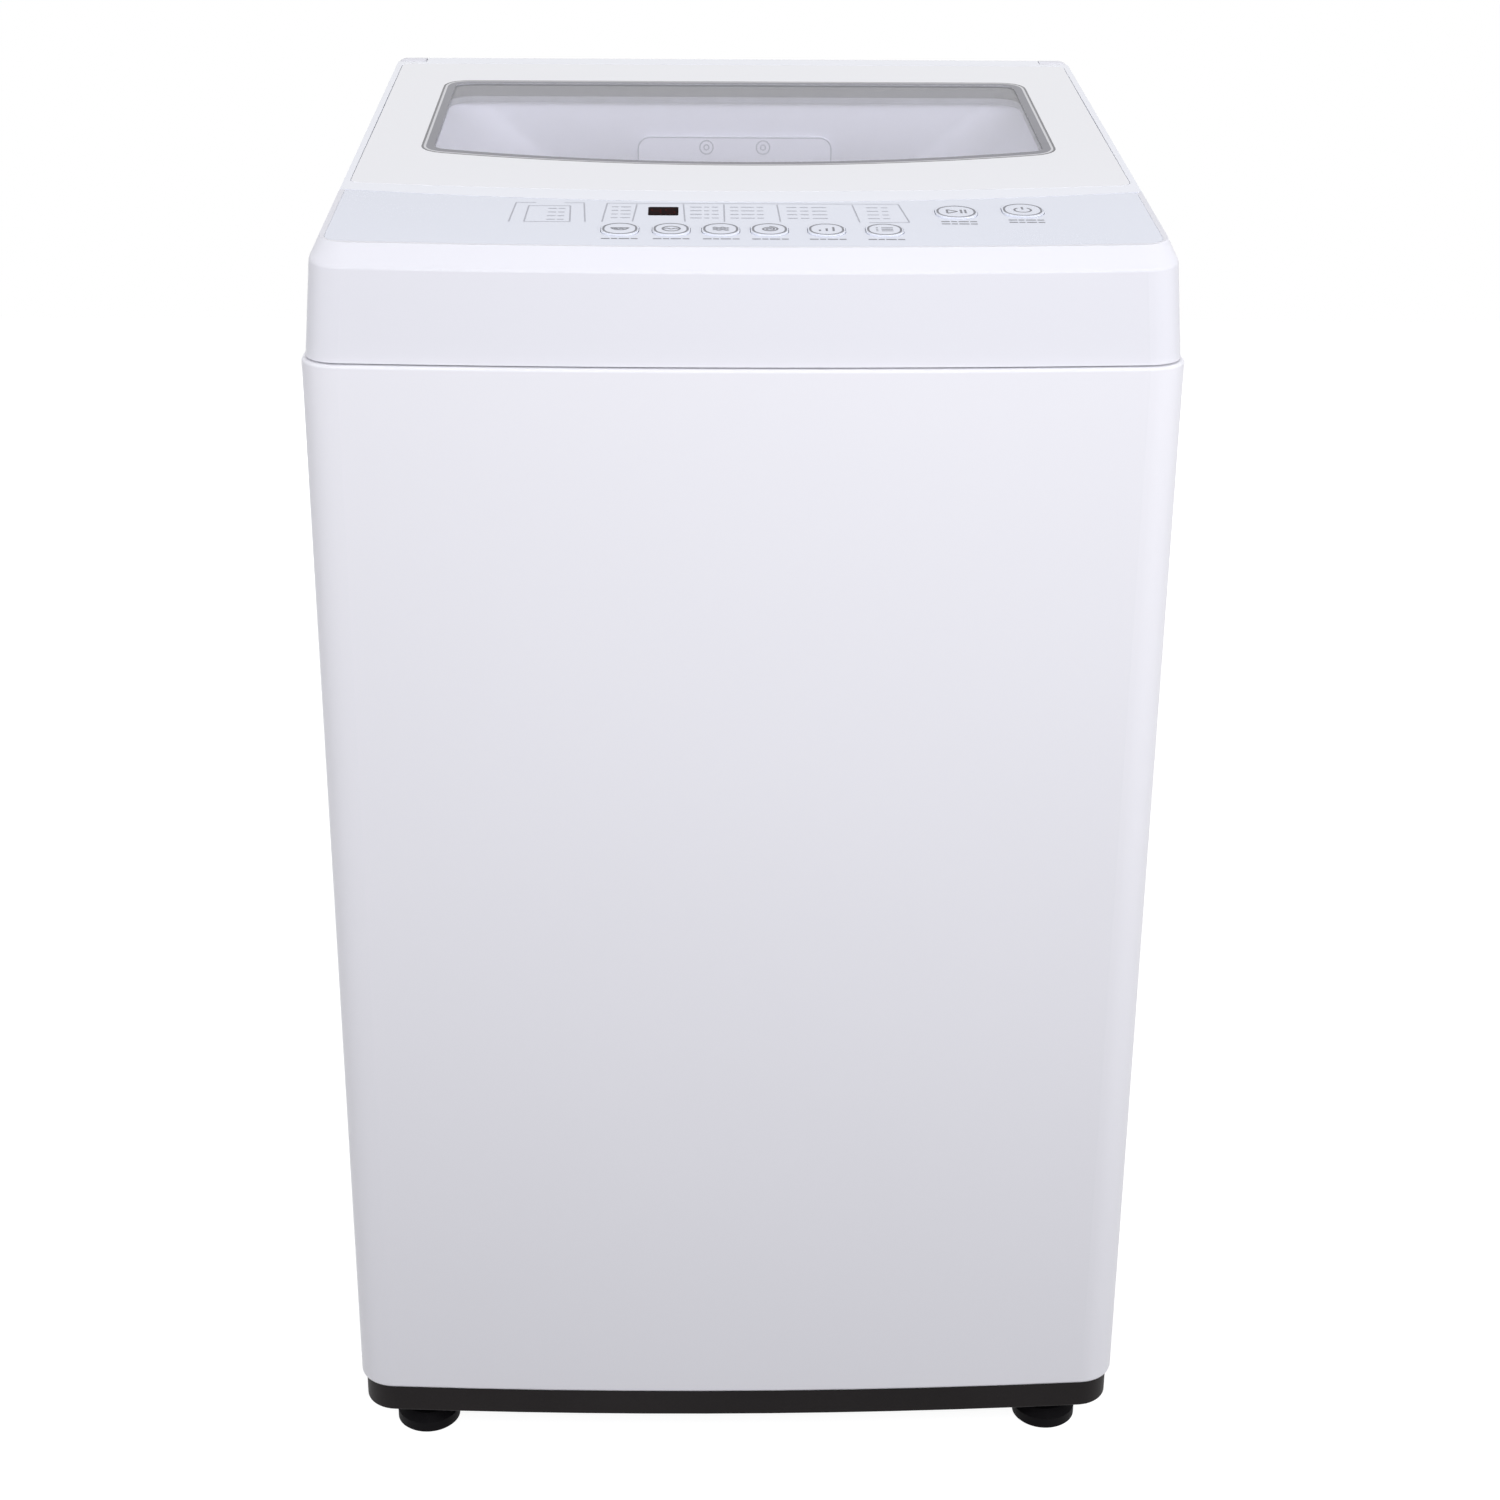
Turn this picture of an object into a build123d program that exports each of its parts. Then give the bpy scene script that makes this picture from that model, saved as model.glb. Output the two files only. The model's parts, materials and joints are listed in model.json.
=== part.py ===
"""Top load washing machine, every piece its own solid, in millimetres.

Origin on the floor under the middle of the machine, +Z up, front at -Y, +X to the right.
"""
import os
from math import atan2, cos, degrees, hypot, radians, sin

from build123d import *

os.makedirs("parts", exist_ok=True)

# Overall size
WIDTH = 520.0
DEPTH = 530.0
FRONT = -DEPTH / 2
REAR = DEPTH / 2
FRONT_BOW = 9.0
CORNER_R = 25.0
REAR_CORNER_R = 8.0
FOOT_ROOM = 24.0
BASE_BAND = 21.0
CABINET_BOTTOM = FOOT_ROOM + BASE_BAND
CABINET_HEIGHT = 716.0
CABINET_TOP = CABINET_BOTTOM + CABINET_HEIGHT

# Steel wrap and rear panel
SHEET = 1.2
BEND_R = 2.0
FLANGE = 14.0
REAR_SETBACK = 2.0
WRAP_REAR = REAR - REAR_SETBACK
REAR_EDGE = 38.0
REAR_OPEN_HALF = WIDTH / 2 - REAR_EDGE
REAR_SILL = 45.0
REAR_OPEN_LOW = CABINET_BOTTOM + REAR_SILL
REAR_HEAD = 39.0
REAR_OPEN_HIGH = CABINET_TOP - REAR_HEAD
PANEL_LAP = 14.0
PANEL_SHEET = 1.0
PANEL_RIBS = 4
PANEL_RIB_PITCH = 70.0
PANEL_RIB_DROP = 112.0
PANEL_RIB_LAST = REAR_OPEN_HIGH - PANEL_RIB_DROP
SCREW_ROWS = 4
SCREW_END = 20.0
SCREW_R = 2.0
SCREW_HEAD_R = 4.5
SCREW_GAP = 0.1
SCREW_LENGTH = 9.0

# Plastic walls and common clearances
WALL = 3.0
SEAM_GAP = 0.9
SEAM_DEPTH = 4.0
PART_GAP = 0.5
GLUE_GAP = 0.15
SLIDE_GAP = 0.35
RUN_GAP = 0.4

# Sloping deck
DECK_SLOPE = 4.0
SLOPE_SIN = sin(radians(DECK_SLOPE))
SLOPE_COS = cos(radians(DECK_SLOPE))
DECK_SETBACK = 15.0
DECK_REAR_SETBACK = 10.25
DECK_INSET = 13.0
DECK_RISE = 68.0
DECK_FRONT_Y = FRONT + DECK_SETBACK
DECK_FRONT_Z = CABINET_TOP + DECK_RISE
DECK_HALF = WIDTH / 2 - DECK_INSET
DECK_LENGTH = (REAR - DECK_REAR_SETBACK - DECK_FRONT_Y) / SLOPE_COS
RIM_DROP = 11.0
RIM_OUT = 12.5
RIM_SIDE = 5.5
RIM_ROUND = 3.0
SKIRT_INSET = 2.5
SKIRT_BOTTOM = CABINET_TOP + SEAM_GAP
DECK = Plane(origin=(0, DECK_FRONT_Y, DECK_FRONT_Z), x_dir=(1, 0, 0), z_dir=(0, -SLOPE_SIN, SLOPE_COS))

# Control panel
FASCIA_INSET = 3.5
FASCIA_HALF = DECK_HALF - FASCIA_INSET
FASCIA_FRONT = 2.5
FASCIA_BOW = 10.5
FASCIA_T = 3.0
FASCIA_R = 10.0
PANEL_REAR = 97.4
PANEL_REAR_BOW = 26.0
PANEL_BED = 3.0
BAY_FRONT = 9.0
DISPLAY_X = -48.0
DISPLAY_V = 76.7
DISPLAY_W = 18.0
DISPLAY_L = 19.0

# Buttons: a row from soak to program, start and power kept to the fascia's right end
BUTTON_ROW_V = 36.0
SOAK_X = -73.0
WASH_X = -43.0
RINSE_X = -14.0
SPIN_X = 14.5
LEVEL_X = 48.0
PROGRAM_X = 82.0
POWER_SIDE = 75.5
POWER_X = FASCIA_HALF - POWER_SIDE
POWER_V = 80.0
START_STEP = 40.5
START_X = POWER_X - START_STEP
START_V = 75.5
SMALL_W = 22.0
SMALL_L = 25.0
LARGE_W = 25.0
START_L = 27.0
POWER_L = 28.0
BUTTONS = [
    ("button_soak", SOAK_X, BUTTON_ROW_V, SMALL_W, SMALL_L),
    ("button_wash", WASH_X, BUTTON_ROW_V, SMALL_W, SMALL_L),
    ("button_rinse", RINSE_X, BUTTON_ROW_V, SMALL_W, SMALL_L),
    ("button_spin", SPIN_X, BUTTON_ROW_V, SMALL_W, SMALL_L),
    ("button_level", LEVEL_X, BUTTON_ROW_V, SMALL_W, SMALL_L),
    ("button_program", PROGRAM_X, BUTTON_ROW_V, SMALL_W, SMALL_L),
    ("button_start", START_X, START_V, LARGE_W, START_L),
    ("button_power", POWER_X, POWER_V, LARGE_W, POWER_L),
]
BUTTON_RISE = 0.8
BUTTON_LIP = 1.6
BUTTON_LIP_T = 2.0
BUTTON_STEM_R = 3.5
BUTTON_STEM = 3.0
BUTTON_ROUND = 0.42
SWITCH_R = 3.0
SWITCH_GAP = 1.0

# Board and its carrier
BOARD_LEFT = 28.0
BOARD_RIGHT = 23.0
BOARD_W = POWER_X + BOARD_RIGHT - SOAK_X + BOARD_LEFT
BOARD_X = (POWER_X + BOARD_RIGHT + SOAK_X - BOARD_LEFT) / 2
BOARD_V = 54.0
BOARD_L = 70.0
BOARD_T = 1.6
BOARD_DEPTH = 13.0
CARRIER_DEPTH = 26.0
POST_R = 4.0

# Lid
LID_T = 10.0
LID_GAP = 1.0
LID_STRIP = 23.9
LEDGE_T = 3.0
LEDGE_DROP = LID_T + LID_GAP
LID_FRONT = PANEL_REAR + LID_GAP
ROLL_R = 12.0
KNUCKLE_ROOM = 21.0
ROLL_HALF = DECK_HALF - KNUCKLE_ROOM
HINGE_BACK = 11.0
HINGE_V = DECK_LENGTH - HINGE_BACK
GLASS_T = 4.0
GLASS_INSET = 4.0
GLASS_HALF = DECK_HALF - GLASS_INSET
GLASS_FRONT = LID_FRONT + LID_STRIP
GLASS_BOW = 18.0
GLASS_BACK = 5.0
GLASS_REAR = HINGE_V - ROLL_R - GLASS_BACK
GLASS_R = 8.0
WINDOW_SIDE = 36.0
WINDOW_HALF = GLASS_HALF - WINDOW_SIDE
WINDOW_LEAD = 63.2
WINDOW_FRONT = GLASS_FRONT + WINDOW_LEAD
WINDOW_BOW = 33.0
WINDOW_BACK = 55.0
WINDOW_REAR = GLASS_REAR - WINDOW_BACK
WINDOW_FRONT_R = 16.0
WINDOW_REAR_R = 20.0
DRIP_DROP = 7.0
TROUGH_WALL = 3.0
KNUCKLE_OUT = 2.0
KNUCKLE_END = DECK_HALF + KNUCKLE_OUT
KNUCKLE_ROUND = 7.0
PIN_R = 5.0
PIN_IN = 24.0
PIN_OUT = 18.0
PIN_GAP = 0.08
HINGE = Plane(
    origin=DECK.from_local_coords((0, HINGE_V, -ROLL_R)),
    x_dir=(0, 1, 0),
    z_dir=(1, 0, 0),
)
BUMPER_R = 5.0
BUMPER_INSET = 13.0
BUMPER_X = DECK_HALF - BUMPER_INSET
BUMPER_LEAD = 47.7
BUMPER_FRONT_V = GLASS_FRONT + BUMPER_LEAD
BUMPER_BACK = 65.0
BUMPER_REAR_V = HINGE_V - BUMPER_BACK
LID_SWITCH_W = 15.0
LID_SWITCH_L = 42.0
LID_SWITCH_H = 18.0
LID_SWITCH_BACK = 40.0

# Basket and tub, as large as the cabinet lets them be
TUB_ROOM = 26.0
TUB_R = min(WIDTH, DEPTH) / 2 - TUB_ROOM
TUB_WALL = 3.0
TUB_LIFT = 217.0
TUB_BOTTOM = CABINET_BOTTOM + TUB_LIFT
TUB_FLOOR = 4.0
TUB_HEAD = 63.0
TUB_TOP = CABINET_TOP - TUB_HEAD
TUB_BEND = 18.0
TUB_RIM = 5.0
TUB_RIBS = 12
TUB_RIB_IN = 20.0
TUB_RIB_R = TUB_R - TUB_RIB_IN
TUB_RIB_DROP = 14.0
COVER_W = 40.0
COVER_IN = TUB_R - COVER_W
COVER_RISE = 12.0
COVER_T = 3.0
DRUM_ROOM = 20.0
DRUM_R = TUB_R - DRUM_ROOM
DRUM_SHEET = 1.0
DRUM_LIFT = 32.0
DRUM_BOTTOM = TUB_BOTTOM + DRUM_LIFT
DRUM_HEAD = 42.0
DRUM_TOP = TUB_TOP - DRUM_HEAD
DRUM_HEM = 24.0
BEAD = 3.0
BEAD_LIFT = 98.0
BEAD_DROP = 96.0
BEAD_HEIGHTS = [DRUM_BOTTOM + BEAD_LIFT, DRUM_TOP - BEAD_DROP]
BEAD_HALF = 10.0
RING_LAP = 2.5
RING_OUT = DRUM_R + RING_LAP
RING_W = 36.5
RING_IN = RING_OUT - RING_W
RING_HEAD = 6.0
RING_TOP = TUB_TOP - RING_HEAD
FLOOR_T = 4.0
HUB_R = 62.0
HUB_T = 9.0
HUB_ARMS = 3
HUB_ARM_ROOM = 8.0
HUB_ARM_R = DRUM_R - HUB_ARM_ROOM
HUB_ARM_W = 34.0
FILTER_HALF_ANGLE = 12.0
FILTER_FACE_ANGLE = 9.2
FILTER_T = 13.0
FILTER_LIFT = 86.0
FILTER_LOW = DRUM_BOTTOM + FILTER_LIFT
FILTER_HEAD = 66.0
FILTER_HIGH = DRUM_TOP - FILTER_HEAD

# Loading throat
THROAT_ROOM = 7.0
THROAT_HALF = WINDOW_HALF + THROAT_ROOM
THROAT_LEAD = 146.0
THROAT_FRONT_Y = DECK_FRONT_Y + THROAT_LEAD
THROAT_BOW = 22.0
DRIP_ROOM = 5.05
THROAT_REAR_Y = DECK_FRONT_Y + WINDOW_REAR * SLOPE_COS + DRIP_ROOM
THROAT_R = 26.0
MOUTH_SIDE = 12.0
MOUTH_HALF = RING_IN - MOUTH_SIDE
MOUTH_LEAD = 30.0
MOUTH_FRONT_Y = MOUTH_LEAD - RING_IN
MOUTH_FLAT = 50.0
MOUTH_R = MOUTH_HALF - MOUTH_FLAT
THROAT_DIP = 19.0
THROAT_BOTTOM = CABINET_TOP - THROAT_DIP

# Detergent drawer and its housing
DRAWER_W = 133.0
DRAWER_H = 32.0
DRAWER_LIFT = 20.0
DRAWER_LOW = CABINET_TOP + DRAWER_LIFT
DRAWER_HIGH = DRAWER_LOW + DRAWER_H
DRAWER_DEPTH = 70.0
DRAWER_WALL = 2.0
FRONT_PLATE_T = 4.0
FRONT_PLATE_LAP = 4.0
FRONT_PLATE_R = 9.0
SCOOP_W = 40.0
SCOOP_H = 16.0
SIPHON_R = 8.0
SIPHON_H = 16.0
HOUSING_WALL = 2.5
HOUSING_HEAD = 8.0
HOUSING_BACK = 3.0
HOUSING_REAR_Y = THROAT_REAR_Y + WALL + DRAWER_DEPTH + HOUSING_BACK

# Water inlet
VALVE_SIDE = 110.0
VALVE_X = WIDTH / 2 - VALVE_SIDE
VALVE_LIFT = 39.0
VALVE_Z = CABINET_TOP + VALVE_LIFT
POCKET_HALF = 27.0
POCKET_DEPTH = 34.0
POCKET_Y = REAR - POCKET_DEPTH
STUB_R = 13.2
STUB_BORE = 9.0
STUB_LENGTH = 22.0
STUB_NECK_R = 12.5
VALVE_BODY_R = 19.0
VALVE_REACH = 35.0
VALVE_BODY_Y = POCKET_Y - VALVE_REACH
LINK_R = 8.0

# Base frame and feet
BASE_INSET = 3.0
BASE_RAIL = 46.0
BASE_EDGE_R = 1.5
LIP_RISE = 12.0
FOOT_SIDE = 44.0
FOOT_X = WIDTH / 2 - FOOT_SIDE
FOOT_END = 38.0
FOOT_Y = DEPTH / 2 - FOOT_END
FOOT_R = 21.5
FOOT_PAD = 13.0
FOOT_EDGE = 1.0
FOOT_BEVEL = 5.0
FOOT_NECK_R = 11.0
FOOT_NECK_DROP = 5.0
FOOT_NECK_TOP = FOOT_ROOM - FOOT_NECK_DROP
FOOT_STEM_R = 5.0
FOOT_STEM_RISE = 17.0
FOOT_STEM_TOP = CABINET_BOTTOM + FOOT_STEM_RISE
FOOT_STEM_BEVEL = 1.0
BOSS_R = 16.0
STEM_GAP = 0.15

# Suspension
ROD_SIDE = 29.0
ROD_END = 31.0
ROD_X = TUB_R - ROD_SIDE
ROD_Y = TUB_R - ROD_END
ROD_R = 4.0
ROD_HEAD_R = 9.0
BRACKET_DROP = 57.0
BRACKET_Z = CABINET_TOP - BRACKET_DROP
BRACKET_T = 3.0
BRACKET_LEG = 78.0
BRACKET_ROOM = 18.0
SLEEVE_R = 18.5
SLEEVE_WALL = 2.5
SLEEVE_LOW = TUB_BOTTOM
LUG_LIFT = 60.0
LUG_Z = TUB_BOTTOM + LUG_LIFT
LUG_T = 8.0
LUG_W = 46.0
SLEEVE_RISE = 12.0
SLEEVE_HIGH = LUG_Z + SLEEVE_RISE
SEAT_R = 15.0
SEAT_LIFT = 16.0
SEAT_Z = SLEEVE_LOW + SEAT_LIFT
SEAT_T = 5.0

# Shafts, bearings and gear case
SPIN_R = 17.5
SHAFT_R = 7.0
INPUT_R = 8.0
HOUSING_R = 34.0
HOUSING_FLANGE_R = 62.0
HOUSING_FLANGE_T = 8.0
HOUSING_DROP = 33.0
HOUSING_LOW = TUB_BOTTOM - HOUSING_DROP
HOUSING_RIBS = 6
PLATE_T = 3.0
PLATE_TOP = HOUSING_LOW
SPIN_DROP = 23.0
SPIN_LOW = PLATE_TOP - SPIN_DROP
GEAR_R = 58.0
GEAR_DROP = 91.0
GEAR_LOW = PLATE_TOP - GEAR_DROP
GEAR_FLANGE_R = 72.0
GEAR_FLANGE_T = 7.0
GEAR_RIBS = 8

# Pulsator
PULSATOR_ROOM = 46.0
PULSATOR_R = DRUM_R - PULSATOR_ROOM
PULSATOR_LIFT = 15.0
PULSATOR_LOW = DRUM_BOTTOM + PULSATOR_LIFT
PULSATOR_RIM = 6.0
PULSATOR_HUB_R = 36.0
PULSATOR_HUB_RISE = 39.0
PULSATOR_HUB_TOP = PULSATOR_LOW + PULSATOR_HUB_RISE
VANES = 6
VANE_RISE = 31.0
VANE_TOP = PULSATOR_LOW + VANE_RISE
VANE_START = 24.0
VANE_ROOM = 14.0
VANE_END = PULSATOR_R - VANE_ROOM
VANE_HALF = 10.0
VANE_BELLY = 9.0
VANE_TIP_HALF = 13.0
VANE_SWEEP = 11.0
VANE_DRAFT = 14.0
CAP_R = 15.0
CAP_T = 4.0

# Belt drive
MOTOR_X = 118.0
MOTOR_Y = -112.0
MOTOR_R = 56.0
MOTOR_NOSE_R = 33.6
MOTOR_DROP = 97.0
MOTOR_LOW = PLATE_TOP - MOTOR_DROP
MOTOR_SHAFT_R = 6.0
MOTOR_SLOTS = 12
PULLEY_R = 72.0
PULLEY_HOLES = 5
PULLEY_HOLE_R = 18.0
MOTOR_PULLEY_R = 18.0
PULLEY_T = 16.0
PULLEY_DROP = 46.0
PULLEY_Z = GEAR_LOW - PULLEY_DROP
BELT_T = 4.0
BELT_H = 10.0
FAN_R = 40.0
FAN_T = 8.0
FAN_BLADES = 10
BOLT_R = 4.0
BOLT_HEAD_R = 7.0
BOLT_HEAD = 5.0
PLATE_BOLT = 60.0
PLATE_BOLTS = [(side_x * PLATE_BOLT, side_y * PLATE_BOLT) for side_x in (-1, 1) for side_y in (-1, 1)]
STANDOFF_FAR = 165.0
STANDOFF_NEAR = 40.0
STANDOFF_PLACES = [
    (-STANDOFF_FAR, -STANDOFF_NEAR),
    (-STANDOFF_NEAR, -STANDOFF_FAR),
    (STANDOFF_FAR, STANDOFF_NEAR),
    (STANDOFF_NEAR, STANDOFF_FAR),
]
STANDOFF_R = 11.0

# Drain
DRAIN_OUT = 113.0
DRAIN_X = -DRAIN_OUT
DRAIN_Y = DRAIN_OUT
DRAIN_R = 27.0
DRAIN_DROP = 66.0
DRAIN_LOW = TUB_BOTTOM - DRAIN_DROP
ACTUATOR_AHEAD = 46.0
SPIGOT_DROP = 44.0
SPIGOT_Z = TUB_BOTTOM - SPIGOT_DROP
SPIGOT_R = 15.0
SPIGOT_BORE = 11.5
SPIGOT_BACK = 39.0
SPIGOT_END = REAR - SPIGOT_BACK
SPIGOT_LENGTH = 42.0
SPIGOT_NECK_R = 13.5
DRAIN_PORT_W = 68.0
DRAIN_PORT_CORNER = 8.0

# Cord gland
GLAND_SIDE = 80.0
GLAND_X = GLAND_SIDE - WIDTH / 2
GLAND_DROP = 32.0
GLAND_Z = REAR_OPEN_HIGH - GLAND_DROP
GLAND_R = 9.0
GLAND_BORE = 4.0


def deck_v(y, w):
    """Distance along the deck of the point at depth y that lies w above the deck."""
    return (y - DECK_FRONT_Y + w * SLOPE_SIN) / SLOPE_COS


def facing(y):
    """Upright plane at depth y, X to the right and Z up, its normal towards the front."""
    return Plane.XZ.offset(-y)


def upright(x, y):
    """Upright plane through the point x, y, for profiles turned about the vertical there."""
    return Plane(origin=(x, y, 0), x_dir=(1, 0, 0), z_dir=(0, -1, 0))


def outline(plane, half, front, front_bow, rear, rear_bow, front_r, rear_r):
    """Closed plan outline: straight sides, front and rear edges bowed, four rounded corners.

    A bow is how far an edge's ends lie behind its middle.
    """
    with BuildSketch(plane) as shape:
        with BuildLine():
            front_edge = ThreePointArc((-half, front + front_bow), (0, front), (half, front + front_bow))
            if rear_bow:
                rear_edge = ThreePointArc((half, rear + rear_bow), (0, rear), (-half, rear + rear_bow))
            else:
                rear_edge = Line((half, rear), (-half, rear))
            Line(front_edge @ 1, rear_edge @ 0)
            Line(rear_edge @ 1, front_edge @ 0)
        make_face()
        corners = shape.vertices().sort_by(Axis.Y)
        fillet(corners[:2], front_r)
        corners = shape.vertices().sort_by(Axis.Y)
        fillet(corners[-2:], rear_r)
    return shape.sketch


def wrap_outline(z, inset):
    """The cabinet's plan outline at height z, moved in by inset."""
    return outline(
        Plane.XY.offset(z),
        WIDTH / 2 - inset,
        FRONT + inset,
        FRONT_BOW,
        WRAP_REAR - inset,
        0,
        max(CORNER_R - inset, SHEET),
        max(REAR_CORNER_R - inset, SHEET),
    )


def turned(points, x=0.0, y=0.0, mode=Mode.ADD):
    """Turn a closed profile of radius and height pairs about the vertical through x, y."""
    with BuildSketch(upright(x, y)) as profile:
        with BuildLine():
            Polyline(*points, close=True)
        make_face()
    revolve(profile.sketch, axis=Axis((x, y, 0), (0, 0, 1)), mode=mode)


def disc(x, y, low, high, radius, mode=Mode.ADD):
    """Upright cylinder at x, y between two heights."""
    with BuildSketch(Plane.XY.offset(low)) as section:
        with Locations((x, y)):
            Circle(radius)
    extrude(section.sketch, amount=high - low, mode=mode)


def rod_along_hinge(start, end, radius, mode=Mode.ADD):
    """Cylinder on the lid's hinge axis between two X values."""
    with BuildSketch(HINGE.offset(start)) as section:
        Circle(radius)
    extrude(section.sketch, amount=end - start, mode=mode)


def deck_block(x, v, width, length, corner, low, high, mode=Mode.ADD):
    """Rounded block standing square on the deck between two levels measured from the deck."""
    with BuildSketch(DECK.offset(low)) as section:
        with Locations((x, v)):
            RectangleRounded(width, length, corner)
    extrude(section.sketch, amount=high - low, mode=mode)


def deck_disc(x, v, radius, low, high, mode=Mode.ADD):
    """Cylinder standing square on the deck between two levels measured from the deck."""
    with BuildSketch(DECK.offset(low)) as section:
        with Locations((x, v)):
            Circle(radius)
    extrude(section.sketch, amount=high - low, mode=mode)


def save(builder, name):
    """Label the finished part and write it as its own file."""
    builder.part.label = name
    export_step(builder.part, f"parts/{name}.step")


# Cabinet wrap: one bent sheet with flanges turned in at top, bottom and rear
SCREW_PITCH = (REAR_OPEN_HIGH - REAR_OPEN_LOW - 2 * SCREW_END) / (SCREW_ROWS - 1)
REAR_SCREWS = [
    (side * (REAR_OPEN_HALF + PANEL_LAP / 2), REAR_OPEN_LOW + SCREW_END + row * SCREW_PITCH)
    for side in (-1, 1)
    for row in range(SCREW_ROWS)
]
with BuildPart() as wrap_void:
    section = wrap_outline(CABINET_BOTTOM + SHEET, SHEET)
    extrude(section, amount=CABINET_TOP - CABINET_BOTTOM - 2 * SHEET)
    fillet(wrap_void.edges().group_by(Axis.Z)[0], BEND_R - SHEET)
    fillet(wrap_void.edges().group_by(Axis.Z)[-1], BEND_R - SHEET)

with BuildPart() as cabinet_wrap:
    section = wrap_outline(CABINET_BOTTOM, 0)
    extrude(section, amount=CABINET_TOP - CABINET_BOTTOM)
    fillet(cabinet_wrap.edges().group_by(Axis.Z)[0], BEND_R)
    fillet(cabinet_wrap.edges().group_by(Axis.Z)[-1], BEND_R)
    add(wrap_void.part, mode=Mode.SUBTRACT)
    section = wrap_outline(CABINET_BOTTOM, FLANGE)
    extrude(section, amount=CABINET_TOP - CABINET_BOTTOM, mode=Mode.SUBTRACT)
    with BuildSketch(facing(WRAP_REAR)):
        with Locations((0, (REAR_OPEN_LOW + REAR_OPEN_HIGH) / 2)):
            RectangleRounded(2 * REAR_OPEN_HALF, REAR_OPEN_HIGH - REAR_OPEN_LOW, CORNER_R)
        with Locations(*REAR_SCREWS):
            Circle(SCREW_R + SCREW_GAP)
    extrude(amount=2 * SHEET, mode=Mode.SUBTRACT)
save(cabinet_wrap, "cabinet_wrap")

# Rear panel: flat sheet with pressed ribs, a cord hole and a port for the drain hose
PANEL_W = 2 * (REAR_OPEN_HALF + PANEL_LAP)
PANEL_LOW = REAR_OPEN_LOW - PANEL_LAP
PANEL_HIGH = REAR_OPEN_HIGH + PANEL_LAP
PORT_RIM = DRAIN_PORT_W + 4 * WALL
RIB_HEIGHTS = [PANEL_RIB_LAST - rib * PANEL_RIB_PITCH for rib in range(PANEL_RIBS)]
with BuildPart() as rear_panel:
    with BuildSketch(facing(WRAP_REAR)):
        with Locations((0, (PANEL_LOW + PANEL_HIGH) / 2)):
            RectangleRounded(PANEL_W, PANEL_HIGH - PANEL_LOW, FLANGE)
        with Locations(*REAR_SCREWS):
            Circle(SCREW_R + SCREW_GAP, mode=Mode.SUBTRACT)
        with Locations((DRAIN_X, SPIGOT_Z)):
            RectangleRounded(DRAIN_PORT_W, DRAIN_PORT_W, DRAIN_PORT_CORNER, mode=Mode.SUBTRACT)
        with Locations((GLAND_X, GLAND_Z)):
            Circle(GLAND_R, mode=Mode.SUBTRACT)
    extrude(amount=-PANEL_SHEET)
    with BuildSketch(facing(WRAP_REAR + PANEL_SHEET)):
        for rib_z in RIB_HEIGHTS:
            with Locations((0, rib_z)):
                SlotOverall(PANEL_W - 4 * FLANGE, 2 * FLANGE)
                SlotOverall(PANEL_W - 6 * FLANGE, FLANGE, mode=Mode.SUBTRACT)
        with Locations((DRAIN_X, SPIGOT_Z)):
            RectangleRounded(PORT_RIM, PORT_RIM, DRAIN_PORT_CORNER + 2 * WALL)
            RectangleRounded(DRAIN_PORT_W, DRAIN_PORT_W, DRAIN_PORT_CORNER, mode=Mode.SUBTRACT)
    extrude(amount=-(REAR_SETBACK - PANEL_SHEET))
save(rear_panel, "rear_panel")

with BuildPart() as rear_screws:
    with BuildSketch(facing(WRAP_REAR + PANEL_SHEET)):
        with Locations(*REAR_SCREWS):
            Circle(SCREW_HEAD_R)
    extrude(amount=-(REAR_SETBACK - PANEL_SHEET))
    with BuildSketch(facing(WRAP_REAR + PANEL_SHEET)):
        with Locations(*REAR_SCREWS):
            Circle(SCREW_R)
    extrude(amount=SCREW_LENGTH)
save(rear_screws, "rear_screws")

with BuildPart() as cord_gland:
    with BuildSketch(facing(WRAP_REAR + PANEL_SHEET)):
        with Locations((GLAND_X, GLAND_Z)):
            Circle(GLAND_R + WALL)
            Circle(GLAND_BORE, mode=Mode.SUBTRACT)
    extrude(amount=-(REAR_SETBACK - PANEL_SHEET))
    with BuildSketch(facing(WRAP_REAR + PANEL_SHEET)):
        with Locations((GLAND_X, GLAND_Z)):
            Circle(GLAND_R - SCREW_GAP)
            Circle(GLAND_BORE, mode=Mode.SUBTRACT)
    extrude(amount=4 * WALL)
save(cord_gland, "cord_gland")

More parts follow.
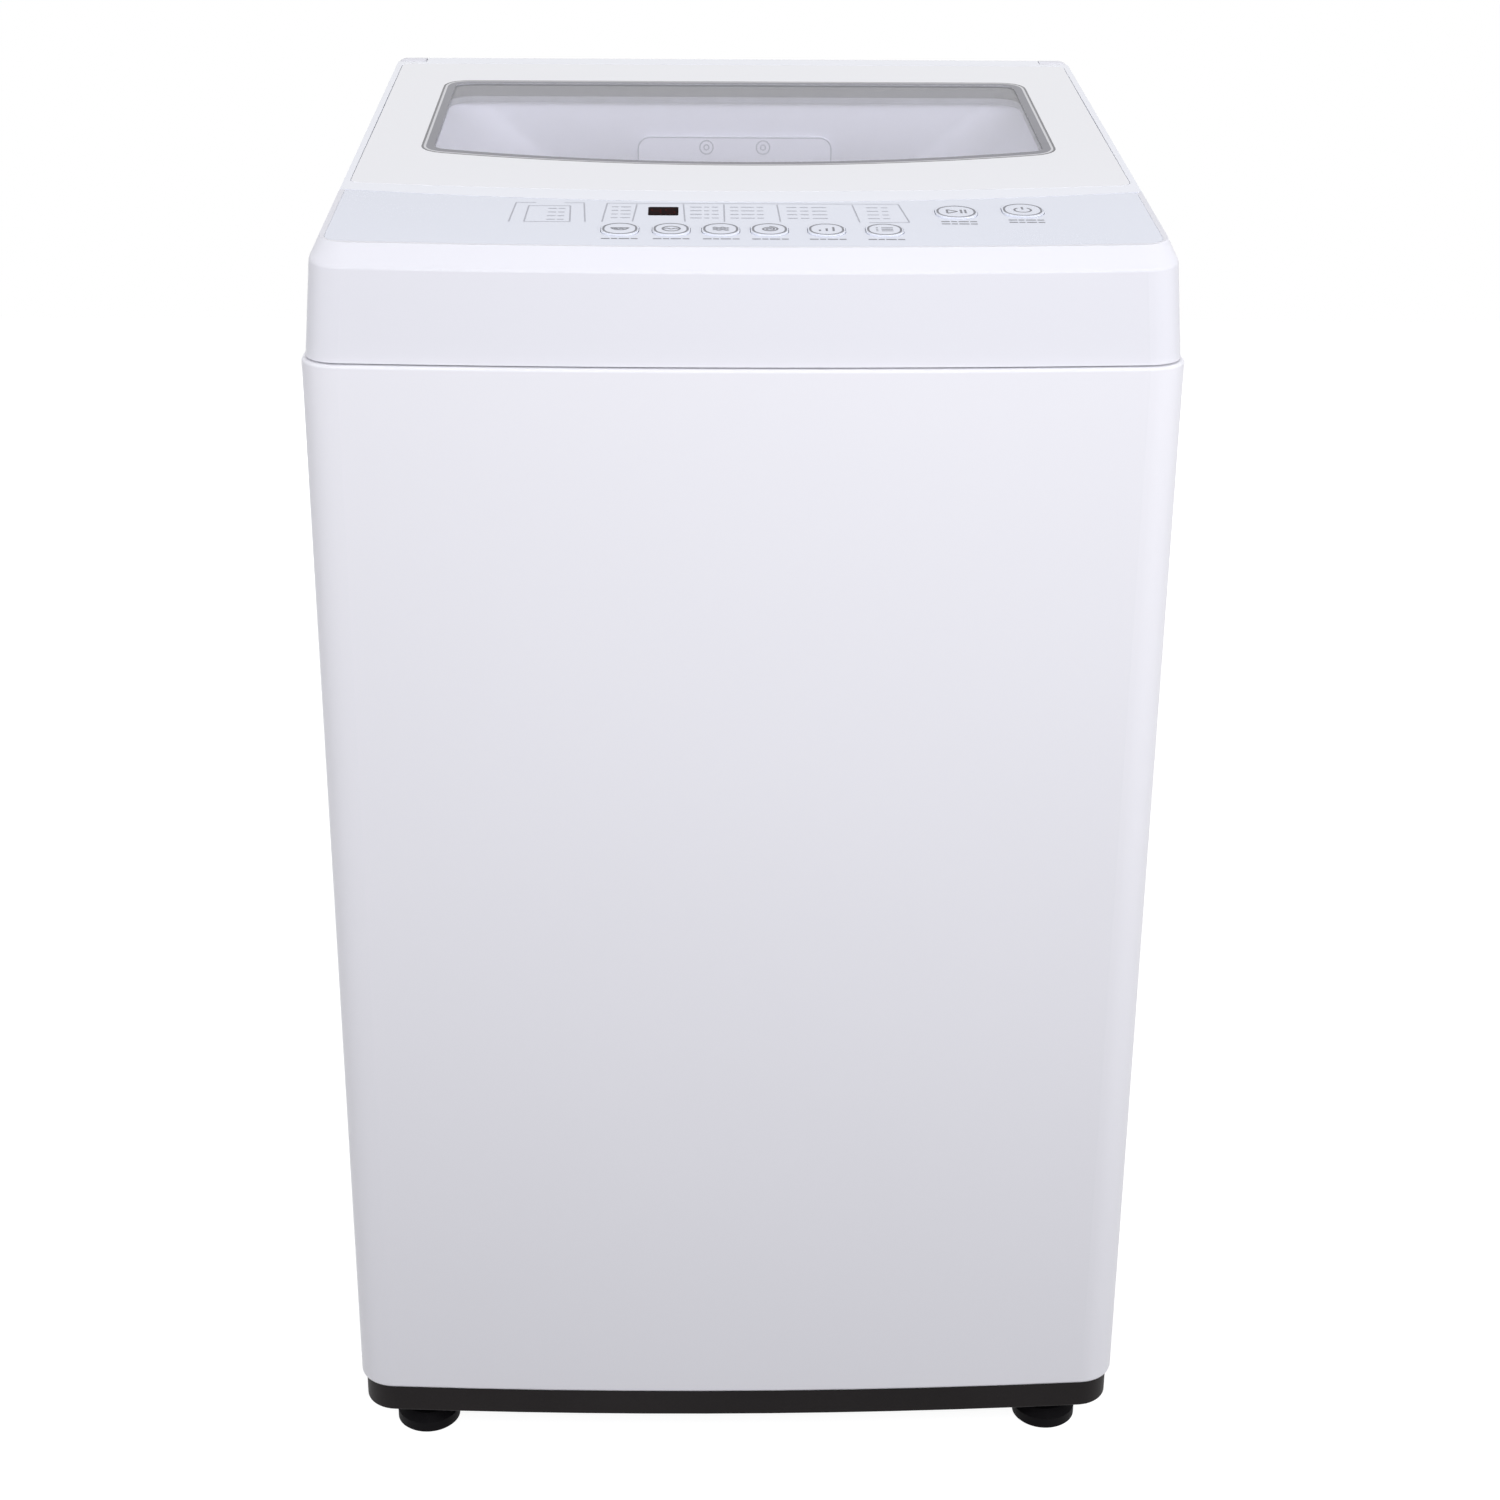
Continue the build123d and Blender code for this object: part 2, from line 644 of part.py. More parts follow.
# Base frame: dark channel rail with bosses for the feet
FEET = {
    "foot_front_left": (-FOOT_X, -FOOT_Y),
    "foot_front_right": (FOOT_X, -FOOT_Y),
    "foot_rear_left": (-FOOT_X, FOOT_Y),
    "foot_rear_right": (FOOT_X, FOOT_Y),
}
with BuildPart() as base_frame:
    section = wrap_outline(FOOT_ROOM, BASE_INSET)
    extrude(section, amount=BASE_BAND)
    fillet(base_frame.edges().group_by(Axis.Z)[0], BASE_EDGE_R)
    section = wrap_outline(FOOT_ROOM, BASE_INSET + 2 * WALL)
    extrude(section, amount=BASE_BAND - WALL, mode=Mode.SUBTRACT)
    section = wrap_outline(FOOT_ROOM, BASE_INSET + BASE_RAIL - WALL)
    extrude(section, amount=BASE_BAND)
    section = wrap_outline(FOOT_ROOM, BASE_INSET + BASE_RAIL)
    extrude(section, amount=BASE_BAND, mode=Mode.SUBTRACT)
    section = wrap_outline(CABINET_BOTTOM, FLANGE + PART_GAP)
    extrude(section, amount=LIP_RISE)
    section = wrap_outline(CABINET_BOTTOM, FLANGE + PART_GAP + WALL)
    extrude(section, amount=LIP_RISE, mode=Mode.SUBTRACT)
    for foot_x, foot_y in FEET.values():
        disc(foot_x, foot_y, FOOT_NECK_TOP, CABINET_BOTTOM, BOSS_R)
    for foot_x, foot_y in FEET.values():
        disc(foot_x, foot_y, FOOT_NECK_TOP, CABINET_BOTTOM, FOOT_STEM_R + STEM_GAP, Mode.SUBTRACT)
save(base_frame, "base_frame")

for foot_name, (foot_x, foot_y) in FEET.items():
    with BuildPart() as foot:
        turned(
            [
                (0, 0),
                (FOOT_R - FOOT_EDGE, 0),
                (FOOT_R, FOOT_EDGE),
                (FOOT_R, FOOT_PAD - FOOT_BEVEL),
                (FOOT_R - FOOT_BEVEL, FOOT_PAD),
                (0, FOOT_PAD),
            ],
            foot_x,
            foot_y,
        )
        with BuildSketch(Plane.XY.offset(FOOT_PAD)):
            with Locations((foot_x, foot_y)):
                RegularPolygon(FOOT_NECK_R, 6)
        extrude(amount=FOOT_NECK_TOP - FOOT_PAD)
        disc(foot_x, foot_y, FOOT_NECK_TOP, FOOT_STEM_TOP, FOOT_STEM_R)
        chamfer(foot.edges().group_by(Axis.Z)[-1], FOOT_STEM_BEVEL)
    save(foot, foot_name)

# Top form: the shared outer shape of top frame and lid, upright skirt, bevel and sloping deck
with BuildPart() as top_form:
    skirt = wrap_outline(SKIRT_BOTTOM, SKIRT_INSET)
    rim = outline(
        DECK.offset(-RIM_DROP),
        DECK_HALF + RIM_SIDE,
        -RIM_OUT,
        FRONT_BOW,
        deck_v(WRAP_REAR - SKIRT_INSET, -RIM_DROP),
        0,
        CORNER_R - SKIRT_INSET,
        REAR_CORNER_R,
    )
    deck = outline(DECK, DECK_HALF, 0, FRONT_BOW, DECK_LENGTH, 0, CORNER_R - RIM_SIDE, REAR_CORNER_R)
    loft([skirt, rim, deck], ruled=True)
    rim_edges = top_form.edges().filter_by(
        lambda edge: abs(DECK.to_local_coords(edge.center()).Z + RIM_DROP) < WALL / 4
        and edge.length > REAR_CORNER_R
    )
    fillet(rim_edges, RIM_ROUND)

# Top frame: hollow skirt, panel bed, lid ledge, hinge trough and loading throat
PANEL_DROP = FASCIA_T + PANEL_BED
CHAMBER_DROP = LEDGE_DROP + LEDGE_T
with BuildPart() as throat_outer:
    first = outline(
        DECK.offset(-LEDGE_DROP),
        THROAT_HALF + WALL,
        deck_v(THROAT_FRONT_Y - WALL, -LEDGE_DROP),
        THROAT_BOW,
        deck_v(THROAT_REAR_Y + WALL, -LEDGE_DROP),
        0,
        THROAT_R + WALL,
        THROAT_R + WALL,
    )
    second = outline(
        Plane.XY.offset(THROAT_BOTTOM),
        MOUTH_HALF + WALL,
        MOUTH_FRONT_Y - WALL,
        THROAT_BOW,
        THROAT_REAR_Y + WALL,
        0,
        MOUTH_R + WALL,
        MOUTH_R + WALL,
    )
    loft([first, second], ruled=True)

with BuildPart() as throat_inner:
    first = outline(
        DECK.offset(-LEDGE_DROP),
        THROAT_HALF,
        deck_v(THROAT_FRONT_Y, -LEDGE_DROP),
        THROAT_BOW,
        deck_v(THROAT_REAR_Y, -LEDGE_DROP),
        0,
        THROAT_R,
        THROAT_R,
    )
    second = outline(
        Plane.XY.offset(THROAT_BOTTOM),
        MOUTH_HALF,
        MOUTH_FRONT_Y,
        THROAT_BOW,
        THROAT_REAR_Y,
        0,
        MOUTH_R,
        MOUTH_R,
    )
    loft([first, second], ruled=True)

# Fixed knuckle at the right end of the hinge, its far end rounded
KNUCKLE_START = ROLL_HALF + LID_GAP
with BuildPart() as knuckle:
    rod_along_hinge(KNUCKLE_START, KNUCKLE_END, ROLL_R)
    fillet(knuckle.edges().sort_by(Axis.X)[-1], KNUCKLE_ROUND)

with BuildPart() as top_frame:
    add(top_form.part)
    first = wrap_outline(SKIRT_BOTTOM, SKIRT_INSET + WALL)
    second = outline(
        DECK.offset(-CHAMBER_DROP),
        DECK_HALF + RIM_SIDE - WALL,
        -RIM_OUT + WALL,
        FRONT_BOW,
        deck_v(WRAP_REAR - SKIRT_INSET - WALL, -CHAMBER_DROP),
        0,
        CORNER_R - SKIRT_INSET - WALL,
        REAR_CORNER_R - WALL,
    )
    loft([first, second], ruled=True, mode=Mode.SUBTRACT)
    # room under the panel bed
    section = outline(
        DECK.offset(-CHAMBER_DROP),
        FASCIA_HALF - WALL,
        BAY_FRONT,
        FASCIA_BOW,
        PANEL_REAR - WALL,
        PANEL_REAR_BOW,
        FASCIA_R,
        WALL,
    )
    extrude(section, amount=CHAMBER_DROP - PANEL_DROP, mode=Mode.SUBTRACT)
    rod_along_hinge(-ROLL_HALF - WALL, ROLL_HALF + WALL, ROLL_R + LID_GAP + TROUGH_WALL)
    # seat for the lid, open to the sides, lower behind the hinge axis
    section = outline(
        DECK.offset(-LEDGE_DROP),
        WIDTH / 2,
        PANEL_REAR,
        PANEL_REAR_BOW * (WIDTH / 2 / FASCIA_HALF) ** 2,
        HINGE_V,
        0,
        SHEET,
        SHEET,
    )
    extrude(section, amount=2 * LEDGE_DROP, mode=Mode.SUBTRACT)
    with BuildSketch(DECK.offset(-ROLL_R)):
        with Locations((0, HINGE_V + ROLL_R)):
            Rectangle(WIDTH, 2 * ROLL_R + 2 * SHEET)
    extrude(amount=2 * ROLL_R, mode=Mode.SUBTRACT)
    rod_along_hinge(-ROLL_HALF - LID_GAP, ROLL_HALF + LID_GAP, ROLL_R + LID_GAP, Mode.SUBTRACT)
    # fixed knuckles at both ends of the roll, each on a block
    add(knuckle.part)
    mirror(knuckle.part, about=Plane.YZ)
    for side in (-1, 1):
        with BuildSketch(DECK.offset(-ROLL_R)):
            with Locations((side * (KNUCKLE_START + KNUCKLE_END) / 2, HINGE_V)):
                Rectangle(KNUCKLE_END - KNUCKLE_START, 2 * ROLL_R)
        extrude(amount=-ROLL_R)
    for side in (-1, 1):
        pin_far = side * (ROLL_HALF + LID_GAP + PIN_OUT)
        rod_along_hinge(
            min(0.0, pin_far), max(0.0, pin_far), PIN_R + PIN_GAP, Mode.SUBTRACT
        )
    # seat on the cabinet's flange and the lip that finds it
    section = wrap_outline(SKIRT_BOTTOM, SKIRT_INSET + WALL - SHEET)
    extrude(section, amount=2 * WALL)
    section = wrap_outline(CABINET_TOP, SKIRT_INSET + WALL + SEAM_DEPTH)
    extrude(section, amount=2 * WALL)
    section = wrap_outline(CABINET_TOP, FLANGE + PART_GAP + WALL)
    extrude(section, amount=SEAM_GAP + 2 * WALL, mode=Mode.SUBTRACT)
    section = wrap_outline(CABINET_TOP - LIP_RISE, FLANGE + PART_GAP)
    extrude(section, amount=LIP_RISE)
    section = wrap_outline(CABINET_TOP - LIP_RISE, FLANGE + PART_GAP + WALL)
    extrude(section, amount=LIP_RISE, mode=Mode.SUBTRACT)
    # throat
    add(throat_outer.part)
    add(throat_inner.part, mode=Mode.SUBTRACT)
    # recess of the fascia and the way down for buttons and display
    section = outline(
        DECK.offset(-FASCIA_T),
        FASCIA_HALF + GLUE_GAP,
        FASCIA_FRONT - GLUE_GAP,
        FASCIA_BOW,
        PANEL_REAR + WALL,
        PANEL_REAR_BOW,
        FASCIA_R + GLUE_GAP,
        WALL,
    )
    extrude(section, amount=2 * FASCIA_T, mode=Mode.SUBTRACT)
    for _, button_x, button_v, button_w, button_l in BUTTONS:
        deck_block(
            button_x,
            button_v,
            button_w + 2 * BUTTON_LIP + 2 * PART_GAP,
            button_l + 2 * BUTTON_LIP + 2 * PART_GAP,
            BUTTON_ROUND * button_w,
            -PANEL_DROP,
            -FASCIA_T,
            Mode.SUBTRACT,
        )
    deck_block(
        DISPLAY_X,
        DISPLAY_V,
        DISPLAY_W + 2 * PART_GAP,
        DISPLAY_L + 2 * PART_GAP,
        SHEET,
        -PANEL_DROP,
        -FASCIA_T,
        Mode.SUBTRACT,
    )
    # mouth of the drawer
    with BuildSketch(facing(THROAT_REAR_Y - WALL)):
        with Locations((0, (DRAWER_LOW + DRAWER_HIGH) / 2)):
            Rectangle(DRAWER_W + 2 * PART_GAP, DRAWER_HIGH - DRAWER_LOW + 2 * PART_GAP)
    extrude(amount=-3 * WALL, mode=Mode.SUBTRACT)
    # pocket for the inlet hose's nut
    with BuildSketch(facing(WRAP_REAR - SKIRT_INSET - WALL / 2)):
        with Locations((VALVE_X, VALVE_Z)):
            Rectangle(2 * POCKET_HALF + 2 * WALL, 2 * POCKET_HALF + 2 * WALL)
    extrude(amount=WRAP_REAR - SKIRT_INSET - WALL / 2 - POCKET_Y)
    with BuildSketch(facing(REAR)):
        with Locations((VALVE_X, VALVE_Z)):
            RectangleRounded(2 * POCKET_HALF, 2 * POCKET_HALF, 2 * WALL)
    extrude(amount=REAR - POCKET_Y - WALL, mode=Mode.SUBTRACT)
    with BuildSketch(facing(REAR)):
        with Locations((VALVE_X, VALVE_Z)):
            Circle(STUB_R + PART_GAP)
    extrude(amount=REAR - POCKET_Y + WALL, mode=Mode.SUBTRACT)
save(top_frame, "top_frame")

# Control panel fascia with holes for buttons and display
with BuildPart() as control_panel:
    section = outline(
        DECK.offset(-FASCIA_T),
        FASCIA_HALF,
        FASCIA_FRONT,
        FASCIA_BOW,
        PANEL_REAR,
        PANEL_REAR_BOW,
        FASCIA_R,
        WALL,
    )
    extrude(section, amount=FASCIA_T)
    for _, button_x, button_v, button_w, button_l in BUTTONS:
        deck_block(
            button_x,
            button_v,
            button_w + 2 * SLIDE_GAP,
            button_l + 2 * SLIDE_GAP,
            BUTTON_ROUND * button_w + SLIDE_GAP,
            -FASCIA_T,
            FASCIA_T,
            Mode.SUBTRACT,
        )
    deck_block(
        DISPLAY_X,
        DISPLAY_V,
        DISPLAY_W + 2 * SCREW_GAP,
        DISPLAY_L + 2 * SCREW_GAP,
        SHEET + SCREW_GAP,
        -FASCIA_T,
        FASCIA_T,
        Mode.SUBTRACT,
    )
save(control_panel, "control_panel")

with BuildPart() as display_window:
    deck_block(DISPLAY_X, DISPLAY_V, DISPLAY_W, DISPLAY_L, SHEET, -FASCIA_T, 0)
save(display_window, "display_window")

with BuildPart() as display_module:
    deck_block(DISPLAY_X, DISPLAY_V, DISPLAY_W - WALL, DISPLAY_L - WALL, SHEET, -BOARD_DEPTH, -FASCIA_T)
save(display_module, "display_module")

STEM_LOW = -(FASCIA_T + BUTTON_LIP_T + BUTTON_STEM)
for button_name, button_x, button_v, button_w, button_l in BUTTONS:
    with BuildPart() as button:
        deck_block(
            button_x, button_v, button_w, button_l, BUTTON_ROUND * button_w, -FASCIA_T, BUTTON_RISE
        )
        crown = button.faces().sort_by(Axis(DECK.origin, DECK.z_dir))[-1]
        chamfer(crown.edges(), BUTTON_RISE / 2)
        deck_block(
            button_x,
            button_v,
            button_w + 2 * BUTTON_LIP,
            button_l + 2 * BUTTON_LIP,
            BUTTON_ROUND * button_w,
            -FASCIA_T - BUTTON_LIP_T,
            -FASCIA_T,
        )
        deck_disc(button_x, button_v, BUTTON_STEM_R, STEM_LOW, -FASCIA_T)
    save(button, button_name)

with BuildPart() as board_carrier:
    deck_block(
        BOARD_X,
        BOARD_V,
        BOARD_W + 2 * WALL,
        BOARD_L + 2 * WALL,
        2 * WALL,
        -CARRIER_DEPTH,
        -PANEL_DROP,
    )
    deck_block(
        BOARD_X, BOARD_V, BOARD_W + WALL, BOARD_L + WALL, WALL, -CARRIER_DEPTH + WALL, 0, Mode.SUBTRACT
    )
    for post_x in (-1, 1):
        for post_v in (-1, 1):
            deck_disc(
                BOARD_X + post_x * (BOARD_W / 2 - 3 * WALL),
                BOARD_V + post_v * (BOARD_L / 2 - 3 * WALL),
                POST_R,
                -CARRIER_DEPTH,
                -BOARD_DEPTH - BOARD_T,
            )
save(board_carrier, "board_carrier")

with BuildPart() as control_board:
    deck_block(BOARD_X, BOARD_V, BOARD_W, BOARD_L, SHEET, -BOARD_DEPTH - BOARD_T, -BOARD_DEPTH)
save(control_board, "control_board")

with BuildPart() as panel_switches:
    for _, button_x, button_v, _, _ in BUTTONS:
        deck_disc(button_x, button_v, SWITCH_R, -BOARD_DEPTH, STEM_LOW - SWITCH_GAP)
save(panel_switches, "panel_switches")

# Lid frame: the top form above the seat, with the hinge roll, a bed for the glass and a drip rim
with BuildPart() as lid_frame:
    add(top_form.part)
    section = outline(
        DECK.offset(-LID_T),
        WIDTH / 2,
        LID_FRONT,
        PANEL_REAR_BOW * (WIDTH / 2 / FASCIA_HALF) ** 2,
        HINGE_V,
        0,
        SHEET,
        SHEET,
    )
    extrude(section, amount=2 * LID_T, mode=Mode.INTERSECT)
    for side in (-1, 1):
        wing_in = side * ROLL_HALF
        wing_out = side * WIDTH / 2
        rod_along_hinge(min(wing_in, wing_out), max(wing_in, wing_out), ROLL_R + LID_GAP, Mode.SUBTRACT)
        with BuildSketch(DECK.offset(-LID_T)):
            with Locations((side * (ROLL_HALF + WIDTH / 2) / 2, HINGE_V)):
                Rectangle(WIDTH / 2 - ROLL_HALF, 2 * ROLL_R)
        extrude(amount=LID_T, mode=Mode.SUBTRACT)
    rod_along_hinge(-ROLL_HALF, ROLL_HALF, ROLL_R)
    section = outline(
        DECK.offset(-LID_T),
        WINDOW_HALF,
        WINDOW_FRONT,
        WINDOW_BOW,
        WINDOW_REAR,
        0,
        WINDOW_FRONT_R,
        WINDOW_REAR_R,
    )
    extrude(section, amount=-DRIP_DROP)
    section = outline(
        DECK.offset(-LID_T - DRIP_DROP),
        WINDOW_HALF - WALL,
        WINDOW_FRONT + WALL,
        WINDOW_BOW,
        WINDOW_REAR - WALL,
        0,
        WINDOW_FRONT_R - WALL,
        WINDOW_REAR_R - WALL,
    )
    extrude(section, amount=LID_T + 2 * DRIP_DROP, mode=Mode.SUBTRACT)
    section = outline(
        DECK.offset(-GLASS_T),
        GLASS_HALF,
        GLASS_FRONT,
        GLASS_BOW,
        GLASS_REAR,
        0,
        GLASS_R,
        GLASS_R,
    )
    extrude(section, amount=2 * GLASS_T, mode=Mode.SUBTRACT)
    for side in (-1, 1):
        pin_near = side * (ROLL_HALF - PIN_IN)
        pin_far = side * (ROLL_HALF + LID_GAP)
        rod_along_hinge(min(pin_near, pin_far), max(pin_near, pin_far), PIN_R, Mode.SUBTRACT)
save(lid_frame, "lid_frame")

with BuildPart() as lid_glass:
    section = outline(
        DECK.offset(-GLASS_T),
        GLASS_HALF - GLUE_GAP,
        GLASS_FRONT + GLUE_GAP,
        GLASS_BOW,
        GLASS_REAR - GLUE_GAP,
        0,
        GLASS_R - GLUE_GAP,
        GLASS_R - GLUE_GAP,
    )
    extrude(section, amount=GLASS_T)
save(lid_glass, "lid_glass")

with BuildPart() as hinge_pins:
    for side in (-1, 1):
        pin_near = side * (ROLL_HALF - PIN_IN)
        pin_far = side * (ROLL_HALF + LID_GAP + PIN_OUT - PART_GAP)
        rod_along_hinge(min(pin_near, pin_far), max(pin_near, pin_far), PIN_R)
save(hinge_pins, "hinge_pins")

with BuildPart() as lid_bumpers:
    for bumper_x in (-BUMPER_X, BUMPER_X):
        for bumper_v in (BUMPER_FRONT_V, BUMPER_REAR_V):
            deck_disc(bumper_x, bumper_v, BUMPER_R, -LEDGE_DROP, -LID_T)
save(lid_bumpers, "lid_bumpers")

with BuildPart() as lid_switch:
    deck_block(
        BUMPER_X,
        BUMPER_FRONT_V + LID_SWITCH_BACK,
        LID_SWITCH_W,
        LID_SWITCH_L,
        WALL,
        -CHAMBER_DROP - LID_SWITCH_H,
        -CHAMBER_DROP,
    )
save(lid_switch, "lid_switch")

# Detergent drawer: front plate with a finger scoop, tray in two compartments
DRAWER_FRONT_Y = THROAT_REAR_Y
with BuildPart() as detergent_drawer:
    with BuildSketch(facing(DRAWER_FRONT_Y)):
        with Locations((0, (DRAWER_LOW + DRAWER_HIGH) / 2)):
            RectangleRounded(
                DRAWER_W + 2 * FRONT_PLATE_LAP,
                DRAWER_HIGH - DRAWER_LOW + 2 * FRONT_PLATE_LAP,
                FRONT_PLATE_R,
            )
    extrude(amount=FRONT_PLATE_T)
    chamfer(detergent_drawer.faces().sort_by(Axis.Y)[0].edges(), SHEET)
    with BuildSketch(facing(DRAWER_FRONT_Y)):
        with Locations((0, (DRAWER_LOW + DRAWER_HIGH) / 2)):
            Rectangle(DRAWER_W, DRAWER_HIGH - DRAWER_LOW)
    extrude(amount=-DRAWER_DEPTH)
    tray_w = (DRAWER_W - 3 * DRAWER_WALL) / 2
    with BuildSketch(Plane.XY.offset(DRAWER_LOW + DRAWER_WALL)):
        with Locations(
            (-(tray_w + DRAWER_WALL) / 2, DRAWER_FRONT_Y + DRAWER_DEPTH / 2),
            ((tray_w + DRAWER_WALL) / 2, DRAWER_FRONT_Y + DRAWER_DEPTH / 2),
        ):
            RectangleRounded(tray_w, DRAWER_DEPTH - 2 * DRAWER_WALL, 2 * DRAWER_WALL)
    extrude(amount=DRAWER_HIGH - DRAWER_LOW, mode=Mode.SUBTRACT)
    with BuildSketch(facing(DRAWER_FRONT_Y - FRONT_PLATE_T)):
        with Locations((0, DRAWER_LOW - FRONT_PLATE_LAP)):
            SlotOverall(SCOOP_W, SCOOP_H)
    extrude(amount=-FRONT_PLATE_T + SHEET, mode=Mode.SUBTRACT)
save(detergent_drawer, "detergent_drawer")

with BuildPart() as siphon_cap:
    with BuildSketch(Plane.XY.offset(DRAWER_LOW + DRAWER_WALL)):
        with Locations(((tray_w + DRAWER_WALL) / 2, DRAWER_FRONT_Y + DRAWER_DEPTH / 2)):
            Circle(SIPHON_R)
    extrude(amount=SIPHON_H)
    chamfer(siphon_cap.edges().group_by(Axis.Z)[-1], DRAWER_WALL)
save(siphon_cap, "siphon_cap")

HOUSING_FRONT_Y = THROAT_REAR_Y + WALL
HOUSING_HALF = DRAWER_W / 2 + PART_GAP + HOUSING_WALL
HOUSING_BOTTOM = DRAWER_LOW - PART_GAP - HOUSING_WALL
HOUSING_TOP = DRAWER_HIGH + PART_GAP + HOUSING_HEAD
with BuildPart() as drawer_housing:
    with BuildSketch(facing(HOUSING_FRONT_Y)):
        with Locations((0, (HOUSING_BOTTOM + HOUSING_TOP) / 2)):
            Rectangle(2 * HOUSING_HALF, HOUSING_TOP - HOUSING_BOTTOM)
    extrude(amount=-(HOUSING_REAR_Y - HOUSING_FRONT_Y))
    with BuildSketch(facing(HOUSING_FRONT_Y)):
        with Locations((0, (DRAWER_LOW + DRAWER_HIGH) / 2)):
            Rectangle(DRAWER_W + 2 * PART_GAP, DRAWER_HIGH - DRAWER_LOW + 2 * PART_GAP)
    extrude(amount=-(HOUSING_REAR_Y - HOUSING_FRONT_Y - HOUSING_WALL), mode=Mode.SUBTRACT)
    with BuildSketch(Plane.YZ.offset(HOUSING_HALF)):
        with Locations((VALVE_BODY_Y + VALVE_BODY_R, HOUSING_TOP - LINK_R)):
            Circle(LINK_R)
    extrude(amount=VALVE_X - VALVE_BODY_R - HOUSING_HALF)
save(drawer_housing, "drawer_housing")

# Water valve: threaded stub in the pocket, body and coil behind it
STUB_START = WALL + PART_GAP
with BuildPart() as water_valve:
    with BuildSketch(facing(POCKET_Y)):
        with Locations((VALVE_X, VALVE_Z)):
            Circle(STUB_NECK_R)
    extrude(amount=-STUB_START)
    with BuildSketch(facing(POCKET_Y + STUB_START)):
        with Locations((VALVE_X, VALVE_Z)):
            Circle(STUB_R)
    extrude(amount=-STUB_LENGTH)
    with BuildSketch(facing(POCKET_Y)):
        with Locations((VALVE_X, VALVE_Z)):
            Circle(VALVE_BODY_R)
    extrude(amount=POCKET_Y - VALVE_BODY_Y)
    with BuildSketch(facing(POCKET_Y - 2 * WALL)):
        with Locations((VALVE_X, VALVE_Z + VALVE_BODY_R / 2)):
            Rectangle(2 * VALVE_BODY_R, 2 * VALVE_BODY_R)
    extrude(amount=POCKET_Y - VALVE_BODY_Y - 4 * WALL)
    with BuildSketch(facing(POCKET_Y + STUB_START + STUB_LENGTH)):
        with Locations((VALVE_X, VALVE_Z)):
            Circle(STUB_BORE)
    extrude(amount=STUB_LENGTH, mode=Mode.SUBTRACT)
save(water_valve, "water_valve")

# Suspension: corner brackets, rods hung from them, sleeves on the tub
RODS = [(side_x * ROD_X, side_y * ROD_Y) for side_x in (-1, 1) for side_y in (-1, 1)]
ROD_ANGLE = degrees(atan2(ROD_Y, ROD_X))
with BuildPart() as corner_brackets:
    section = wrap_outline(BRACKET_Z, SHEET)
    extrude(section, amount=BRACKET_T)
    with BuildSketch(Plane.XY.offset(BRACKET_Z)):
        Rectangle(2 * WIDTH, 2 * (ROD_Y - BRACKET_LEG / 2))
        Rectangle(2 * (ROD_X - BRACKET_LEG / 2), 2 * DEPTH)
        Circle(TUB_R + TUB_RIM + BRACKET_ROOM)
    extrude(amount=BRACKET_T, mode=Mode.SUBTRACT)
    for rod_x, rod_y in RODS:
        disc(rod_x, rod_y, BRACKET_Z, BRACKET_Z + BRACKET_T, ROD_R + PART_GAP, Mode.SUBTRACT)
save(corner_brackets, "corner_brackets")

with BuildPart() as suspension_rods:
    for rod_x, rod_y in RODS:
        turned(
            [
                (0, SEAT_Z),
                (SEAT_R, SEAT_Z),
                (SEAT_R, SEAT_Z + SEAT_T),
                (ROD_R, SEAT_Z + SEAT_T),
                (ROD_R, BRACKET_Z + BRACKET_T),
                (ROD_HEAD_R, BRACKET_Z + BRACKET_T),
                (ROD_HEAD_R, BRACKET_Z + BRACKET_T + ROD_R),
                (ROD_R, BRACKET_Z + BRACKET_T + 2 * ROD_R),
                (0, BRACKET_Z + BRACKET_T + 2 * ROD_R),
            ],
            rod_x,
            rod_y,
        )
save(suspension_rods, "suspension_rods")

with BuildPart() as suspension_sleeves:
    for rod_x, rod_y in RODS:
        turned(
            [
                (SLEEVE_R - SLEEVE_WALL, SLEEVE_LOW),
                (SLEEVE_R, SLEEVE_LOW),
                (SLEEVE_R, LUG_Z),
                (SLEEVE_R - 2 * SLEEVE_WALL, LUG_Z),
                (SLEEVE_R - 2 * SLEEVE_WALL, SLEEVE_HIGH),
                (ROD_R + PART_GAP, SLEEVE_HIGH),
                (ROD_R + PART_GAP, LUG_Z - WALL),
                (SLEEVE_R - SLEEVE_WALL, LUG_Z - WALL),
            ],
            rod_x,
            rod_y,
        )
save(suspension_sleeves, "suspension_sleeves")

